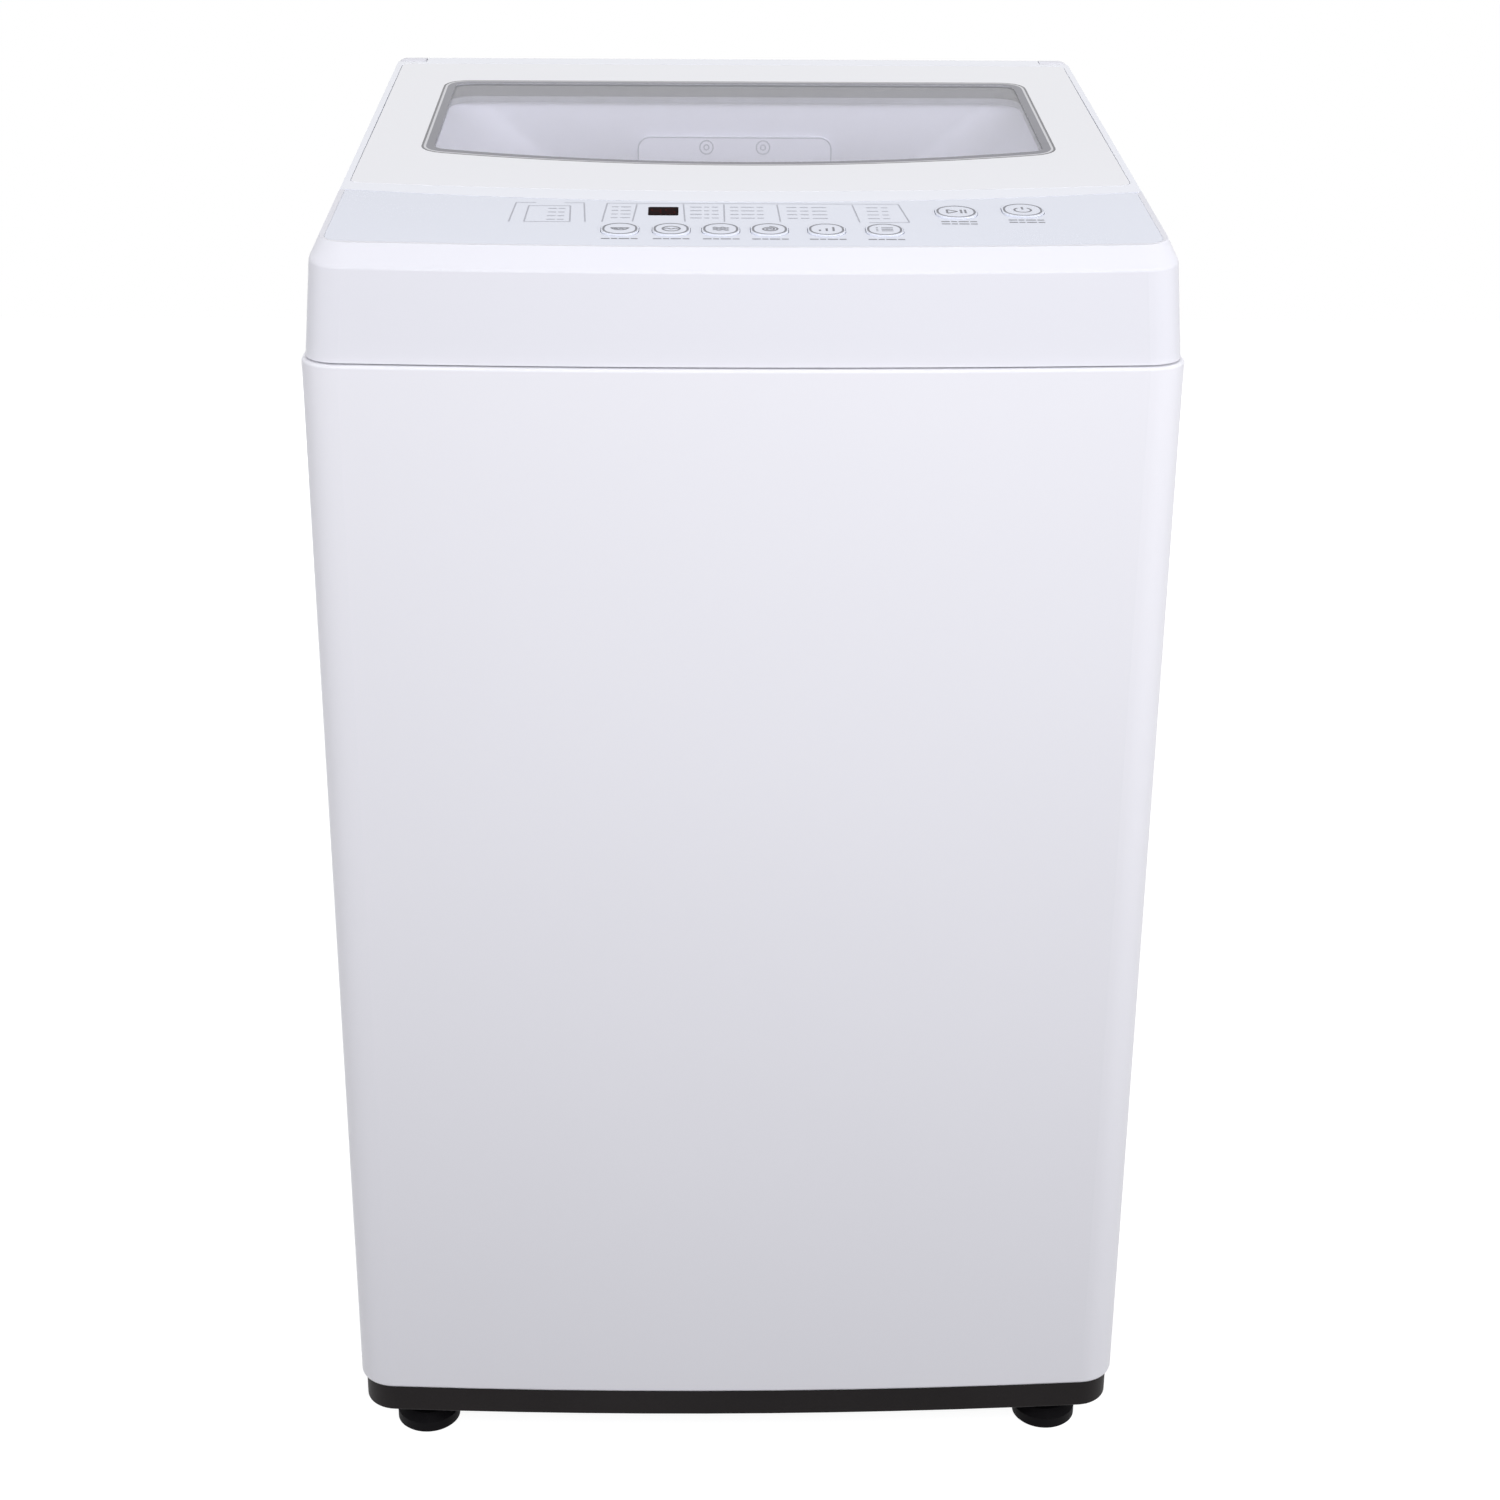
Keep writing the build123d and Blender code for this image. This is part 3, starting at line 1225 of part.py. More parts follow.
# Outer tub: deep cup with a rolled rim, lugs for the sleeves and ribs under its floor
with BuildPart() as outer_tub:
    turned(
        [
            (HOUSING_R, TUB_BOTTOM),
            (TUB_R - TUB_BEND, TUB_BOTTOM),
            (TUB_R, TUB_BOTTOM + TUB_BEND),
            (TUB_R, TUB_TOP - 2 * TUB_RIM),
            (TUB_R + TUB_RIM, TUB_TOP - 2 * TUB_RIM),
            (TUB_R + TUB_RIM, TUB_TOP),
            (TUB_R - TUB_WALL, TUB_TOP),
            (TUB_R - TUB_WALL, TUB_BOTTOM + TUB_BEND + TUB_WALL / 2),
            (TUB_R - TUB_BEND - TUB_WALL / 2, TUB_BOTTOM + TUB_FLOOR),
            (HOUSING_R, TUB_BOTTOM + TUB_FLOOR),
        ]
    )
    with BuildSketch(Plane.XY.offset(LUG_Z)):
        for lug_angle in (ROD_ANGLE, -ROD_ANGLE):
            Rectangle(2 * hypot(ROD_X, ROD_Y) + LUG_W, LUG_W, rotation=lug_angle)
        Circle(TUB_R - TUB_WALL / 2, mode=Mode.SUBTRACT)
        with Locations(*RODS):
            Circle(SLEEVE_R - 2 * SLEEVE_WALL + SCREW_GAP, mode=Mode.SUBTRACT)
    extrude(amount=LUG_T)
    with BuildSketch(Plane.XY.offset(TUB_BOTTOM)):
        Circle(TUB_RIB_R)
        Circle(TUB_RIB_R - TUB_WALL, mode=Mode.SUBTRACT)
        for rib in range(TUB_RIBS // 2):
            Rectangle(2 * TUB_RIB_R, TUB_WALL, rotation=360 / TUB_RIBS * rib)
        Circle(HOUSING_FLANGE_R + TUB_WALL, mode=Mode.SUBTRACT)
    extrude(amount=-TUB_RIB_DROP)
    disc(DRAIN_X, DRAIN_Y, TUB_BOTTOM, TUB_BOTTOM + TUB_FLOOR, SPIGOT_BORE, Mode.SUBTRACT)
save(outer_tub, "outer_tub")

with BuildPart() as tub_cover:
    turned(
        [
            (TUB_R - TUB_WALL, TUB_TOP),
            (TUB_R + TUB_RIM, TUB_TOP),
            (TUB_R + TUB_RIM, TUB_TOP + COVER_RISE / 2),
            (TUB_R - TUB_RIM, TUB_TOP + COVER_RISE),
            (COVER_IN, TUB_TOP + COVER_RISE),
            (COVER_IN, TUB_TOP + COVER_RISE / 3),
            (COVER_IN + COVER_T, TUB_TOP + COVER_RISE / 3),
            (COVER_IN + COVER_T, TUB_TOP + COVER_RISE - COVER_T),
            (TUB_R - TUB_RIM - COVER_T, TUB_TOP + COVER_RISE - COVER_T),
        ]
    )
save(tub_cover, "tub_cover")

# Bearing housing under the tub floor
with BuildPart() as bearing_housing:
    turned(
        [
            (SPIN_R + RUN_GAP, HOUSING_LOW),
            (HOUSING_R, HOUSING_LOW),
            (HOUSING_R, TUB_BOTTOM - HOUSING_FLANGE_T),
            (HOUSING_FLANGE_R, TUB_BOTTOM - HOUSING_FLANGE_T),
            (HOUSING_FLANGE_R, TUB_BOTTOM),
            (HOUSING_R - PART_GAP, TUB_BOTTOM),
            (HOUSING_R - PART_GAP, TUB_BOTTOM + 2 * TUB_FLOOR),
            (SPIN_R + RUN_GAP, TUB_BOTTOM + 2 * TUB_FLOOR),
        ]
    )
    with BuildSketch(Plane.XY.offset(HOUSING_LOW)):
        for rib in range(HOUSING_RIBS // 2):
            Rectangle(2 * (HOUSING_FLANGE_R - WALL), 2 * WALL, rotation=360 / HOUSING_RIBS * rib)
        Circle(HOUSING_R - WALL, mode=Mode.SUBTRACT)
    extrude(amount=TUB_BOTTOM - HOUSING_LOW - HOUSING_FLANGE_T, taper=WALL)
save(bearing_housing, "bearing_housing")

# Carrier plate: folded steel plate that ties gear case and motor to the tub
with BuildPart() as carrier_plate:
    with BuildSketch(Plane.XY.offset(PLATE_TOP - PLATE_T)):
        with BuildSketch(mode=Mode.ADD):
            Circle(GEAR_FLANGE_R + 4 * WALL)
            with Locations((MOTOR_X, MOTOR_Y)):
                Circle(MOTOR_R + WALL)
            with Locations(*STANDOFF_PLACES):
                Circle(STANDOFF_R + 2 * WALL)
            make_hull()
        Circle(SPIN_R + RUN_GAP + WALL, mode=Mode.SUBTRACT)
        with Locations(*PLATE_BOLTS):
            Circle(BOLT_R + SCREW_GAP, mode=Mode.SUBTRACT)
        with Locations((MOTOR_X, MOTOR_Y)):
            Circle(MOTOR_R / 3, mode=Mode.SUBTRACT)
    extrude(amount=PLATE_T)
    for standoff_x, standoff_y in STANDOFF_PLACES:
        disc(standoff_x, standoff_y, PLATE_TOP, TUB_BOTTOM, STANDOFF_R)
save(carrier_plate, "carrier_plate")

# Gear case: flanged upper half, ribbed lower half
with BuildPart() as gear_case:
    turned(
        [
            (SPIN_R + RUN_GAP, SPIN_LOW - WALL),
            (0, SPIN_LOW - WALL),
            (0, GEAR_LOW + 8 * WALL),
            (INPUT_R + RUN_GAP, GEAR_LOW + 8 * WALL),
            (INPUT_R + RUN_GAP, GEAR_LOW - 2 * WALL),
            (GEAR_R / 3, GEAR_LOW - 2 * WALL),
            (GEAR_R / 3, GEAR_LOW),
            (GEAR_R - 2 * WALL, GEAR_LOW),
            (GEAR_R, GEAR_LOW + 2 * WALL),
            (GEAR_R, PLATE_TOP - PLATE_T - GEAR_FLANGE_T),
            (GEAR_FLANGE_R + 5 * WALL, PLATE_TOP - PLATE_T - GEAR_FLANGE_T),
            (GEAR_FLANGE_R + 5 * WALL, PLATE_TOP - PLATE_T),
            (SPIN_R + RUN_GAP, PLATE_TOP - PLATE_T),
        ]
    )
    for rib in range(GEAR_RIBS):
        rib_angle = 360 / GEAR_RIBS * rib
        rib_plane = Plane(
            origin=(0, 0, GEAR_LOW + 2 * WALL),
            x_dir=(cos(radians(rib_angle)), sin(radians(rib_angle)), 0),
            z_dir=(0, 0, 1),
        )
        with BuildSketch(rib_plane):
            with Locations((GEAR_R, 0)):
                Rectangle(4 * WALL, WALL)
        extrude(amount=PLATE_TOP - PLATE_T - GEAR_FLANGE_T - GEAR_LOW - 2 * WALL)
    with BuildSketch(Plane.XY.offset(PLATE_TOP - PLATE_T)):
        with Locations(*PLATE_BOLTS):
            Circle(BOLT_R + SCREW_GAP)
    extrude(amount=-GEAR_FLANGE_T, mode=Mode.SUBTRACT)
save(gear_case, "gear_case")

with BuildPart() as gear_bolts:
    for bolt_x, bolt_y in PLATE_BOLTS:
        disc(bolt_x, bolt_y, PLATE_TOP - PLATE_T - GEAR_FLANGE_T, PLATE_TOP + BOLT_HEAD, BOLT_R)
        with BuildSketch(Plane.XY.offset(PLATE_TOP - PLATE_T - GEAR_FLANGE_T)):
            with Locations((bolt_x, bolt_y)):
                RegularPolygon(BOLT_HEAD_R, 6)
        extrude(amount=-BOLT_HEAD)
save(gear_bolts, "gear_bolts")

# Basket: beaded steel drum, moulded floor, balance ring, hub arms, spin tube and lint filters
drum_profile = [(DRUM_R - DRUM_HEM, DRUM_BOTTOM), (DRUM_R, DRUM_BOTTOM)]
for bead_z in BEAD_HEIGHTS:
    drum_profile += [
        (DRUM_R, bead_z - BEAD_HALF),
        (DRUM_R + BEAD, bead_z - BEAD_HALF / 2),
        (DRUM_R + BEAD, bead_z + BEAD_HALF / 2),
        (DRUM_R, bead_z + BEAD_HALF),
    ]
drum_profile += [(DRUM_R, DRUM_TOP), (DRUM_R - DRUM_SHEET, DRUM_TOP)]
for bead_z in reversed(BEAD_HEIGHTS):
    drum_profile += [
        (DRUM_R - DRUM_SHEET, bead_z + BEAD_HALF),
        (DRUM_R - DRUM_SHEET + BEAD, bead_z + BEAD_HALF / 2),
        (DRUM_R - DRUM_SHEET + BEAD, bead_z - BEAD_HALF / 2),
        (DRUM_R - DRUM_SHEET, bead_z - BEAD_HALF),
    ]
drum_profile += [
    (DRUM_R - DRUM_SHEET, DRUM_BOTTOM + DRUM_SHEET),
    (DRUM_R - DRUM_HEM, DRUM_BOTTOM + DRUM_SHEET),
]
with BuildPart() as basket_drum:
    turned(drum_profile)
save(basket_drum, "basket_drum")

FLOOR_LOW = DRUM_BOTTOM + DRUM_SHEET
with BuildPart() as basket_floor:
    turned(
        [
            (SPIN_R + PART_GAP, FLOOR_LOW),
            (DRUM_R - DRUM_SHEET - PART_GAP, FLOOR_LOW),
            (DRUM_R - DRUM_SHEET - PART_GAP, FLOOR_LOW + 6 * FLOOR_T),
            (DRUM_R - DRUM_SHEET - FLOOR_T, FLOOR_LOW + 6 * FLOOR_T),
            (PULSATOR_R + 4 * FLOOR_T, FLOOR_LOW + 3 * FLOOR_T),
            (PULSATOR_R + 2 * FLOOR_T, FLOOR_LOW + FLOOR_T),
            (SPIN_R + PART_GAP, FLOOR_LOW + FLOOR_T),
        ]
    )
save(basket_floor, "basket_floor")

with BuildPart() as balance_ring:
    turned(
        [
            (RING_IN + 2 * WALL, DRUM_TOP),
            (RING_OUT, DRUM_TOP),
            (RING_OUT, RING_TOP - 2 * WALL),
            (RING_OUT - 2 * WALL, RING_TOP),
            (RING_IN + 4 * WALL, RING_TOP),
            (RING_IN, RING_TOP - 4 * WALL),
            (RING_IN, DRUM_TOP + 2 * WALL),
        ]
    )
save(balance_ring, "balance_ring")

with BuildPart() as basket_hub:
    turned(
        [
            (SPIN_R, DRUM_BOTTOM - 2 * HUB_T),
            (HUB_R / 2, DRUM_BOTTOM - 2 * HUB_T),
            (HUB_R, DRUM_BOTTOM - HUB_T),
            (HUB_R, FLOOR_LOW),
            (SPIN_R, FLOOR_LOW),
        ]
    )
    for arm in range(HUB_ARMS):
        arm_angle = 90 + 360 / HUB_ARMS * arm
        arm_plane = Plane(
            origin=(0, 0, DRUM_BOTTOM - HUB_T),
            x_dir=(cos(radians(arm_angle)), sin(radians(arm_angle)), 0),
            z_dir=(0, 0, 1),
        )
        with BuildSketch(arm_plane):
            with BuildLine():
                Polyline(
                    (HUB_R / 2, -HUB_ARM_W),
                    (HUB_ARM_R, -HUB_ARM_W / 2),
                    (HUB_ARM_R, HUB_ARM_W / 2),
                    (HUB_R / 2, HUB_ARM_W),
                    close=True,
                )
            make_face()
        extrude(amount=HUB_T)
    disc(0, 0, DRUM_BOTTOM - 2 * HUB_T, FLOOR_LOW, SPIN_R, Mode.SUBTRACT)
save(basket_hub, "basket_hub")

with BuildPart() as spin_tube:
    turned(
        [
            (SHAFT_R + RUN_GAP, SPIN_LOW),
            (SPIN_R, SPIN_LOW),
            (SPIN_R, FLOOR_LOW + 2 * FLOOR_T),
            (SHAFT_R + RUN_GAP, FLOOR_LOW + 2 * FLOOR_T),
        ]
    )
save(spin_tube, "spin_tube")

FILTER_BACK = DRUM_R - DRUM_SHEET - PART_GAP
with BuildPart() as lint_filters:
    for side in (0, 180):
        turn_to = Plane(
            origin=(0, 0, FILTER_LOW),
            x_dir=(cos(radians(side)), sin(radians(side)), 0),
            z_dir=(0, 0, 1),
        )
        with BuildSketch(turn_to):
            with BuildLine():
                back = CenterArc((0, 0), FILTER_BACK, -FILTER_HALF_ANGLE, 2 * FILTER_HALF_ANGLE)
                face = CenterArc(
                    (0, 0), FILTER_BACK - FILTER_T, -FILTER_FACE_ANGLE, 2 * FILTER_FACE_ANGLE
                )
                Line(back @ 1, face @ 1)
                Line(back @ 0, face @ 0)
            make_face()
        extrude(amount=FILTER_HIGH - FILTER_LOW)
save(lint_filters, "lint_filters")

# Pulsator: low cone with six curved vanes, held by a capped screw on the inner shaft
with BuildPart() as pulsator:
    turned(
        [
            (SHAFT_R, PULSATOR_LOW),
            (PULSATOR_R, PULSATOR_LOW),
            (PULSATOR_R, PULSATOR_LOW + PULSATOR_RIM / 2),
            (PULSATOR_R - PULSATOR_RIM, PULSATOR_LOW + PULSATOR_RIM),
            (2 * PULSATOR_HUB_R, PULSATOR_LOW + 2 * PULSATOR_RIM),
            (PULSATOR_HUB_R, PULSATOR_HUB_TOP - PULSATOR_RIM),
            (PULSATOR_HUB_R - PULSATOR_RIM, PULSATOR_HUB_TOP),
            (SHAFT_R, PULSATOR_HUB_TOP),
        ]
    )
    vane_mid = (VANE_START + VANE_END) / 2
    for vane in range(VANES):
        vane_angle = 360 / VANES * vane
        vane_plane = Plane(
            origin=(0, 0, PULSATOR_LOW + PULSATOR_RIM / 2),
            x_dir=(cos(radians(vane_angle)), sin(radians(vane_angle)), 0),
            z_dir=(0, 0, 1),
        )
        with BuildSketch(vane_plane):
            with BuildLine():
                lead = ThreePointArc(
                    (VANE_START, -VANE_HALF),
                    (vane_mid, VANE_BELLY - VANE_HALF),
                    (VANE_END, -VANE_SWEEP - VANE_TIP_HALF),
                )
                trail = ThreePointArc(
                    (VANE_START, VANE_HALF),
                    (vane_mid, VANE_BELLY + VANE_HALF),
                    (VANE_END, VANE_TIP_HALF - VANE_SWEEP),
                )
                Line(lead @ 0, trail @ 0)
                Line(lead @ 1, trail @ 1)
            make_face()
        extrude(amount=VANE_TOP - PULSATOR_LOW - PULSATOR_RIM / 2, taper=VANE_DRAFT)
    disc(0, 0, PULSATOR_LOW, PULSATOR_HUB_TOP, SHAFT_R, Mode.SUBTRACT)
save(pulsator, "pulsator")

with BuildPart() as pulsator_shaft:
    disc(0, 0, SPIN_LOW, PULSATOR_HUB_TOP, SHAFT_R)
save(pulsator_shaft, "pulsator_shaft")

with BuildPart() as pulsator_cap:
    disc(0, 0, PULSATOR_HUB_TOP, PULSATOR_HUB_TOP + CAP_T, CAP_R)
    chamfer(pulsator_cap.edges().group_by(Axis.Z)[-1], CAP_T / 2)
save(pulsator_cap, "pulsator_cap")

# Belt drive: spoked pulley on the gear case, motor with its own pulley and fan
PULLEY_LOW = PULLEY_Z - PULLEY_T / 2
PULLEY_HIGH = PULLEY_Z + PULLEY_T / 2
with BuildPart() as drive_pulley:
    turned(
        [
            (INPUT_R, PULLEY_LOW),
            (PULLEY_R + BELT_T, PULLEY_LOW),
            (PULLEY_R, PULLEY_Z - BELT_H / 2 - PART_GAP),
            (PULLEY_R, PULLEY_Z + BELT_H / 2 + PART_GAP),
            (PULLEY_R + BELT_T, PULLEY_HIGH),
            (INPUT_R, PULLEY_HIGH),
        ]
    )
    with BuildSketch(Plane.XY.offset(PULLEY_LOW)):
        with PolarLocations((PULLEY_R + 2 * INPUT_R) / 2, PULLEY_HOLES):
            Circle(PULLEY_HOLE_R)
    extrude(amount=PULLEY_T, mode=Mode.SUBTRACT)
save(drive_pulley, "drive_pulley")

with BuildPart() as drive_shaft:
    disc(0, 0, PULLEY_LOW - 2 * BOLT_HEAD, GEAR_LOW + 7 * WALL, INPUT_R)
    with BuildSketch(Plane.XY.offset(PULLEY_LOW)):
        RegularPolygon(2 * INPUT_R, 6)
    extrude(amount=-BOLT_HEAD)
save(drive_shaft, "drive_shaft")

with BuildPart() as drive_belt:
    with BuildSketch(Plane.XY.offset(PULLEY_Z - BELT_H / 2)):
        with BuildSketch(mode=Mode.ADD):
            Circle(PULLEY_R + SLIDE_GAP + BELT_T)
            with Locations((MOTOR_X, MOTOR_Y)):
                Circle(MOTOR_PULLEY_R + SLIDE_GAP + BELT_T)
            make_hull()
        with BuildSketch(mode=Mode.SUBTRACT):
            Circle(PULLEY_R + SLIDE_GAP)
            with Locations((MOTOR_X, MOTOR_Y)):
                Circle(MOTOR_PULLEY_R + SLIDE_GAP)
            make_hull()
    extrude(amount=BELT_H)
save(drive_belt, "drive_belt")

MOTOR_TOP = PLATE_TOP - PLATE_T
with BuildPart() as motor:
    turned(
        [
            (MOTOR_SHAFT_R + RUN_GAP, MOTOR_LOW),
            (MOTOR_NOSE_R, MOTOR_LOW),
            (MOTOR_R - 2 * WALL, MOTOR_LOW + 4 * WALL),
            (MOTOR_R, MOTOR_LOW + 4 * WALL),
            (MOTOR_R, MOTOR_TOP - 6 * WALL),
            (MOTOR_R - 2 * WALL, MOTOR_TOP - 6 * WALL),
            (MOTOR_R - 2 * WALL, MOTOR_TOP),
            (MOTOR_SHAFT_R + RUN_GAP, MOTOR_TOP),
        ],
        MOTOR_X,
        MOTOR_Y,
    )
    with BuildSketch(Plane.XY.offset(MOTOR_LOW + 4 * WALL)):
        with Locations((MOTOR_X, MOTOR_Y)):
            with PolarLocations(MOTOR_R, MOTOR_SLOTS):
                Rectangle(2 * WALL, 2 * WALL)
    extrude(amount=MOTOR_TOP - MOTOR_LOW - 10 * WALL, mode=Mode.SUBTRACT)
save(motor, "motor")

with BuildPart() as motor_shaft:
    disc(MOTOR_X, MOTOR_Y, PULLEY_LOW, MOTOR_TOP, MOTOR_SHAFT_R)
save(motor_shaft, "motor_shaft")

with BuildPart() as motor_pulley:
    turned(
        [
            (MOTOR_SHAFT_R, PULLEY_LOW),
            (MOTOR_PULLEY_R + BELT_T, PULLEY_LOW),
            (MOTOR_PULLEY_R, PULLEY_Z - BELT_H / 2 - PART_GAP),
            (MOTOR_PULLEY_R, PULLEY_Z + BELT_H / 2 + PART_GAP),
            (MOTOR_PULLEY_R + BELT_T, PULLEY_HIGH),
            (MOTOR_SHAFT_R, PULLEY_HIGH),
        ],
        MOTOR_X,
        MOTOR_Y,
    )
save(motor_pulley, "motor_pulley")

FAN_LOW = PULLEY_HIGH + 2 * WALL
with BuildPart() as motor_fan:
    turned(
        [
            (MOTOR_SHAFT_R, FAN_LOW),
            (FAN_R, FAN_LOW),
            (FAN_R, FAN_LOW + SHEET),
            (2 * MOTOR_SHAFT_R, FAN_LOW + SHEET),
            (2 * MOTOR_SHAFT_R, FAN_LOW + FAN_T),
            (MOTOR_SHAFT_R, FAN_LOW + FAN_T),
        ],
        MOTOR_X,
        MOTOR_Y,
    )
    with BuildSketch(Plane.XY.offset(FAN_LOW)):
        with Locations((MOTOR_X, MOTOR_Y)):
            with PolarLocations((FAN_R + MOTOR_SHAFT_R) / 2, FAN_BLADES):
                Rectangle(FAN_R - MOTOR_SHAFT_R - 2 * SHEET, SHEET)
    extrude(amount=FAN_T)
save(motor_fan, "motor_fan")

# Drain valve under the tub floor, its spigot towards the port in the rear panel
with BuildPart() as drain_valve:
    disc(DRAIN_X, DRAIN_Y, DRAIN_LOW, TUB_BOTTOM, DRAIN_R)
    with BuildSketch(facing(DRAIN_Y)):
        with Locations((DRAIN_X, SPIGOT_Z)):
            Circle(SPIGOT_NECK_R)
    extrude(amount=-(SPIGOT_END - DRAIN_Y))
    with BuildSketch(facing(SPIGOT_END)):
        with Locations((DRAIN_X, SPIGOT_Z)):
            Circle(SPIGOT_R)
    extrude(amount=SPIGOT_LENGTH)
    with BuildSketch(facing(SPIGOT_END)):
        with Locations((DRAIN_X, SPIGOT_Z)):
            Circle(SPIGOT_BORE)
    extrude(amount=SPIGOT_END - DRAIN_Y, mode=Mode.SUBTRACT)
    disc(DRAIN_X, DRAIN_Y, SPIGOT_Z, TUB_BOTTOM, SPIGOT_BORE, Mode.SUBTRACT)
    with BuildSketch(Plane.XY.offset(DRAIN_LOW)):
        with Locations((DRAIN_X, DRAIN_Y - ACTUATOR_AHEAD)):
            RectangleRounded(2 * SPIGOT_R, 2 * DRAIN_R, 2 * WALL)
    extrude(amount=DRAIN_R)
save(drain_valve, "drain_valve")
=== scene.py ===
"""Looks of the top load washing machine: finishes on its solids, glazing, printed signs and the studio."""

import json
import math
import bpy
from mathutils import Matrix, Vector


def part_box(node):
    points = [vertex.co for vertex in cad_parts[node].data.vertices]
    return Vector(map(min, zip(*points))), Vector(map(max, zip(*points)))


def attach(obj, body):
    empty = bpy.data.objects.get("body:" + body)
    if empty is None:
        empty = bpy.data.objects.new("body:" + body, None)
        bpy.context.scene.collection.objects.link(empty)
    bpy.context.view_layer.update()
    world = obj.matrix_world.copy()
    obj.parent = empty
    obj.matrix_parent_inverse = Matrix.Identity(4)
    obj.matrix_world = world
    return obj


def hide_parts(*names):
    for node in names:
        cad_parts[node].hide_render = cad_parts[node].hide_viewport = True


bl_info = {
    "name": "Top Load Washer Looks",
    "version": (1, 0, 0),
    "blender": (4, 5, 0),
    "location": "View3D > Sidebar > Washer",
    "description": "Finishes, glazing, printed signs and studio for a top load washing machine",
    "category": "Object",
}

import bpy
import numpy as np
from mathutils import Matrix, Vector

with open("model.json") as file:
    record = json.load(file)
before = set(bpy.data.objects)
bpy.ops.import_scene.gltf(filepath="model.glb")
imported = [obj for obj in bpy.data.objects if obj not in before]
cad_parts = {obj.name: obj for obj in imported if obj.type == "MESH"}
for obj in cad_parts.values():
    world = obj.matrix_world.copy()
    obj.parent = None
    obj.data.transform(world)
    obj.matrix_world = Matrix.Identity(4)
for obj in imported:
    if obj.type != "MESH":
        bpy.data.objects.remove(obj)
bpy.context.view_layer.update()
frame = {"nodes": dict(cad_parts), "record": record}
MM = 0.001

# The sloping deck: where its front edge lies, and its slope
DECK_Y = -0.250
DECK_Z = 0.829
SLOPE = math.radians(4.0)
# Lid glass and its window: bow of the front edges and radii of the corners
GLASS_BOW = 0.018
GLASS_CORNER = 0.00785
WINDOW_BOW = 0.033
FRONT_CORNER = 0.016
REAR_CORNER = 0.020
LEAST_CORNER = 0.004
# Levels below the glass's top face, the slant of the pane's wall, and the place of the two rings of painted shade
# inside the window's edge
PRINT_FOOT = -0.004
PANE_FOOT = -0.003
PANE_SLANT = 0.02
SHADE_RING_OUT = 0.00305
SHADE_RING_IN = 0.0036
SHADE_RING_EASE = 1.3
SHADE_RING_TOP = -0.00405
SHADE_RING_FOOT = -0.0125
SHADE_LIP_FOOT = -0.0168
# Drum holes: number round the drum and pitch of the rows
HOLES_ROUND = 64
HOLE_ROW = 0.021
# Depths of the finest relief, and the roughness of a clear coat
PEBBLE_DEPTH = 0.0004
LINE_DEPTH = 0.0003
HOLE_DEPTH = 0.0008
COAT_ROUGHNESS = 0.06
# Studio: half width of the floor, its shade under the machine, and the camera's place and turns
FLOOR_REACH = 3.0
SHADE_X = (0.23, 0.265)
SHADE_Y = (0.18, 0.24)
SHADE_MIDDLE_Y = 0.03
FLOOR_GLOW = 0.9
SENSOR = 36.0
CAMERA_PLACE = (-0.0301, -1.7374, 1.1466)
PITCH, YAW, ROLL = math.radians(22.960), math.radians(1.346), math.radians(0.485)


def tint(name, description, default):
    """A colour that a user may change."""
    return bpy.props.FloatVectorProperty(
        name=name, description=description, subtype="COLOR", size=3, min=0, max=1, default=default)


def measure(name, description, default):
    """A length that a user may change."""
    return bpy.props.FloatProperty(name=name, description=description, unit="LENGTH", default=default)


def watts(name, description, default):
    """A lamp's power that a user may change."""
    return bpy.props.FloatProperty(name=name, description=description, unit="POWER", default=default)


class WasherColours(bpy.types.PropertyGroup):
    """Colours of the finishes, as they look in plain light."""

    enamel: tint("Cabinet enamel", "Stoved paint of the cabinet", (0.88, 0.877, 0.915))
    rear_coat: tint("Rear panel coat", "Thin coat on the rear panel", (0.70, 0.70, 0.72))
    top_white: tint("Top frame white", "Moulded top frame", (0.82, 0.82, 0.865))
    lid_white: tint("Lid white", "Moulded lid frame with its grip strip", (0.88, 0.90, 0.97))
    fascia: tint("Fascia film", "Pale film on the control panel", (0.785, 0.815, 0.905))
    border: tint("Glass border", "White print round the lid window", (0.86, 0.865, 0.905))
    # The ring of painted shade under the window's edge takes a darker share of the band colour.
    band: tint("Window band", "Grey printed band round the clear glass", (0.135, 0.135, 0.17))
    ink: tint("Sign ink", "Grey ink of the printed signs", (0.18, 0.185, 0.215))
    base: tint("Base black", "Dark base moulding", (0.010, 0.008, 0.0083))


class WasherSizes(bpy.types.PropertyGroup):
    """Sizes of the pieces that only show: glazing, printed lines and signs."""

    glass_half: measure("Glass half width", "Half width of the lid glass", 0.24285)
    glass_front: measure("Glass front", "Front edge of the glass along the deck", 0.12245)
    glass_rear: measure("Glass rear", "Rear edge of the glass along the deck", 0.47783)
    window_half: measure("Window half width", "Half width of the window", 0.207)
    window_front: measure("Window front", "Front edge of the window along the deck", 0.1855)
    window_rear: measure("Window rear", "Rear edge of the window along the deck", 0.42298)
    line_width: measure("Window line", "Width of each thin line round the window", 0.0015)
    band_width: measure("Window band", "Width of the grey band round the window", 0.0055)
    stroke: measure("Sign stroke", "Width of a sign's stroke", 0.0013)


class WasherStudio(bpy.types.PropertyGroup):
    """The studio's lamps and camera."""

    key_power: watts("Key lamp", "Power of the large lamp before the front", 30.5)
    top_power: watts("Top lamp", "Power of the lamp above the rear", 7.5)
    side_power: watts("Side lamps", "Power of the tall lamp at each side", 17.5)
    rear_power: watts("Rear lamp", "Power of the wide lamp behind", 34.0)
    sky: bpy.props.FloatProperty(
        name="Surround", description="Level of the even light from all round", default=0.32)
    lens: bpy.props.FloatProperty(
        name="Lens", description="Focal length on a 36 mm sensor, in millimetres", default=62.566)


# Mesh building


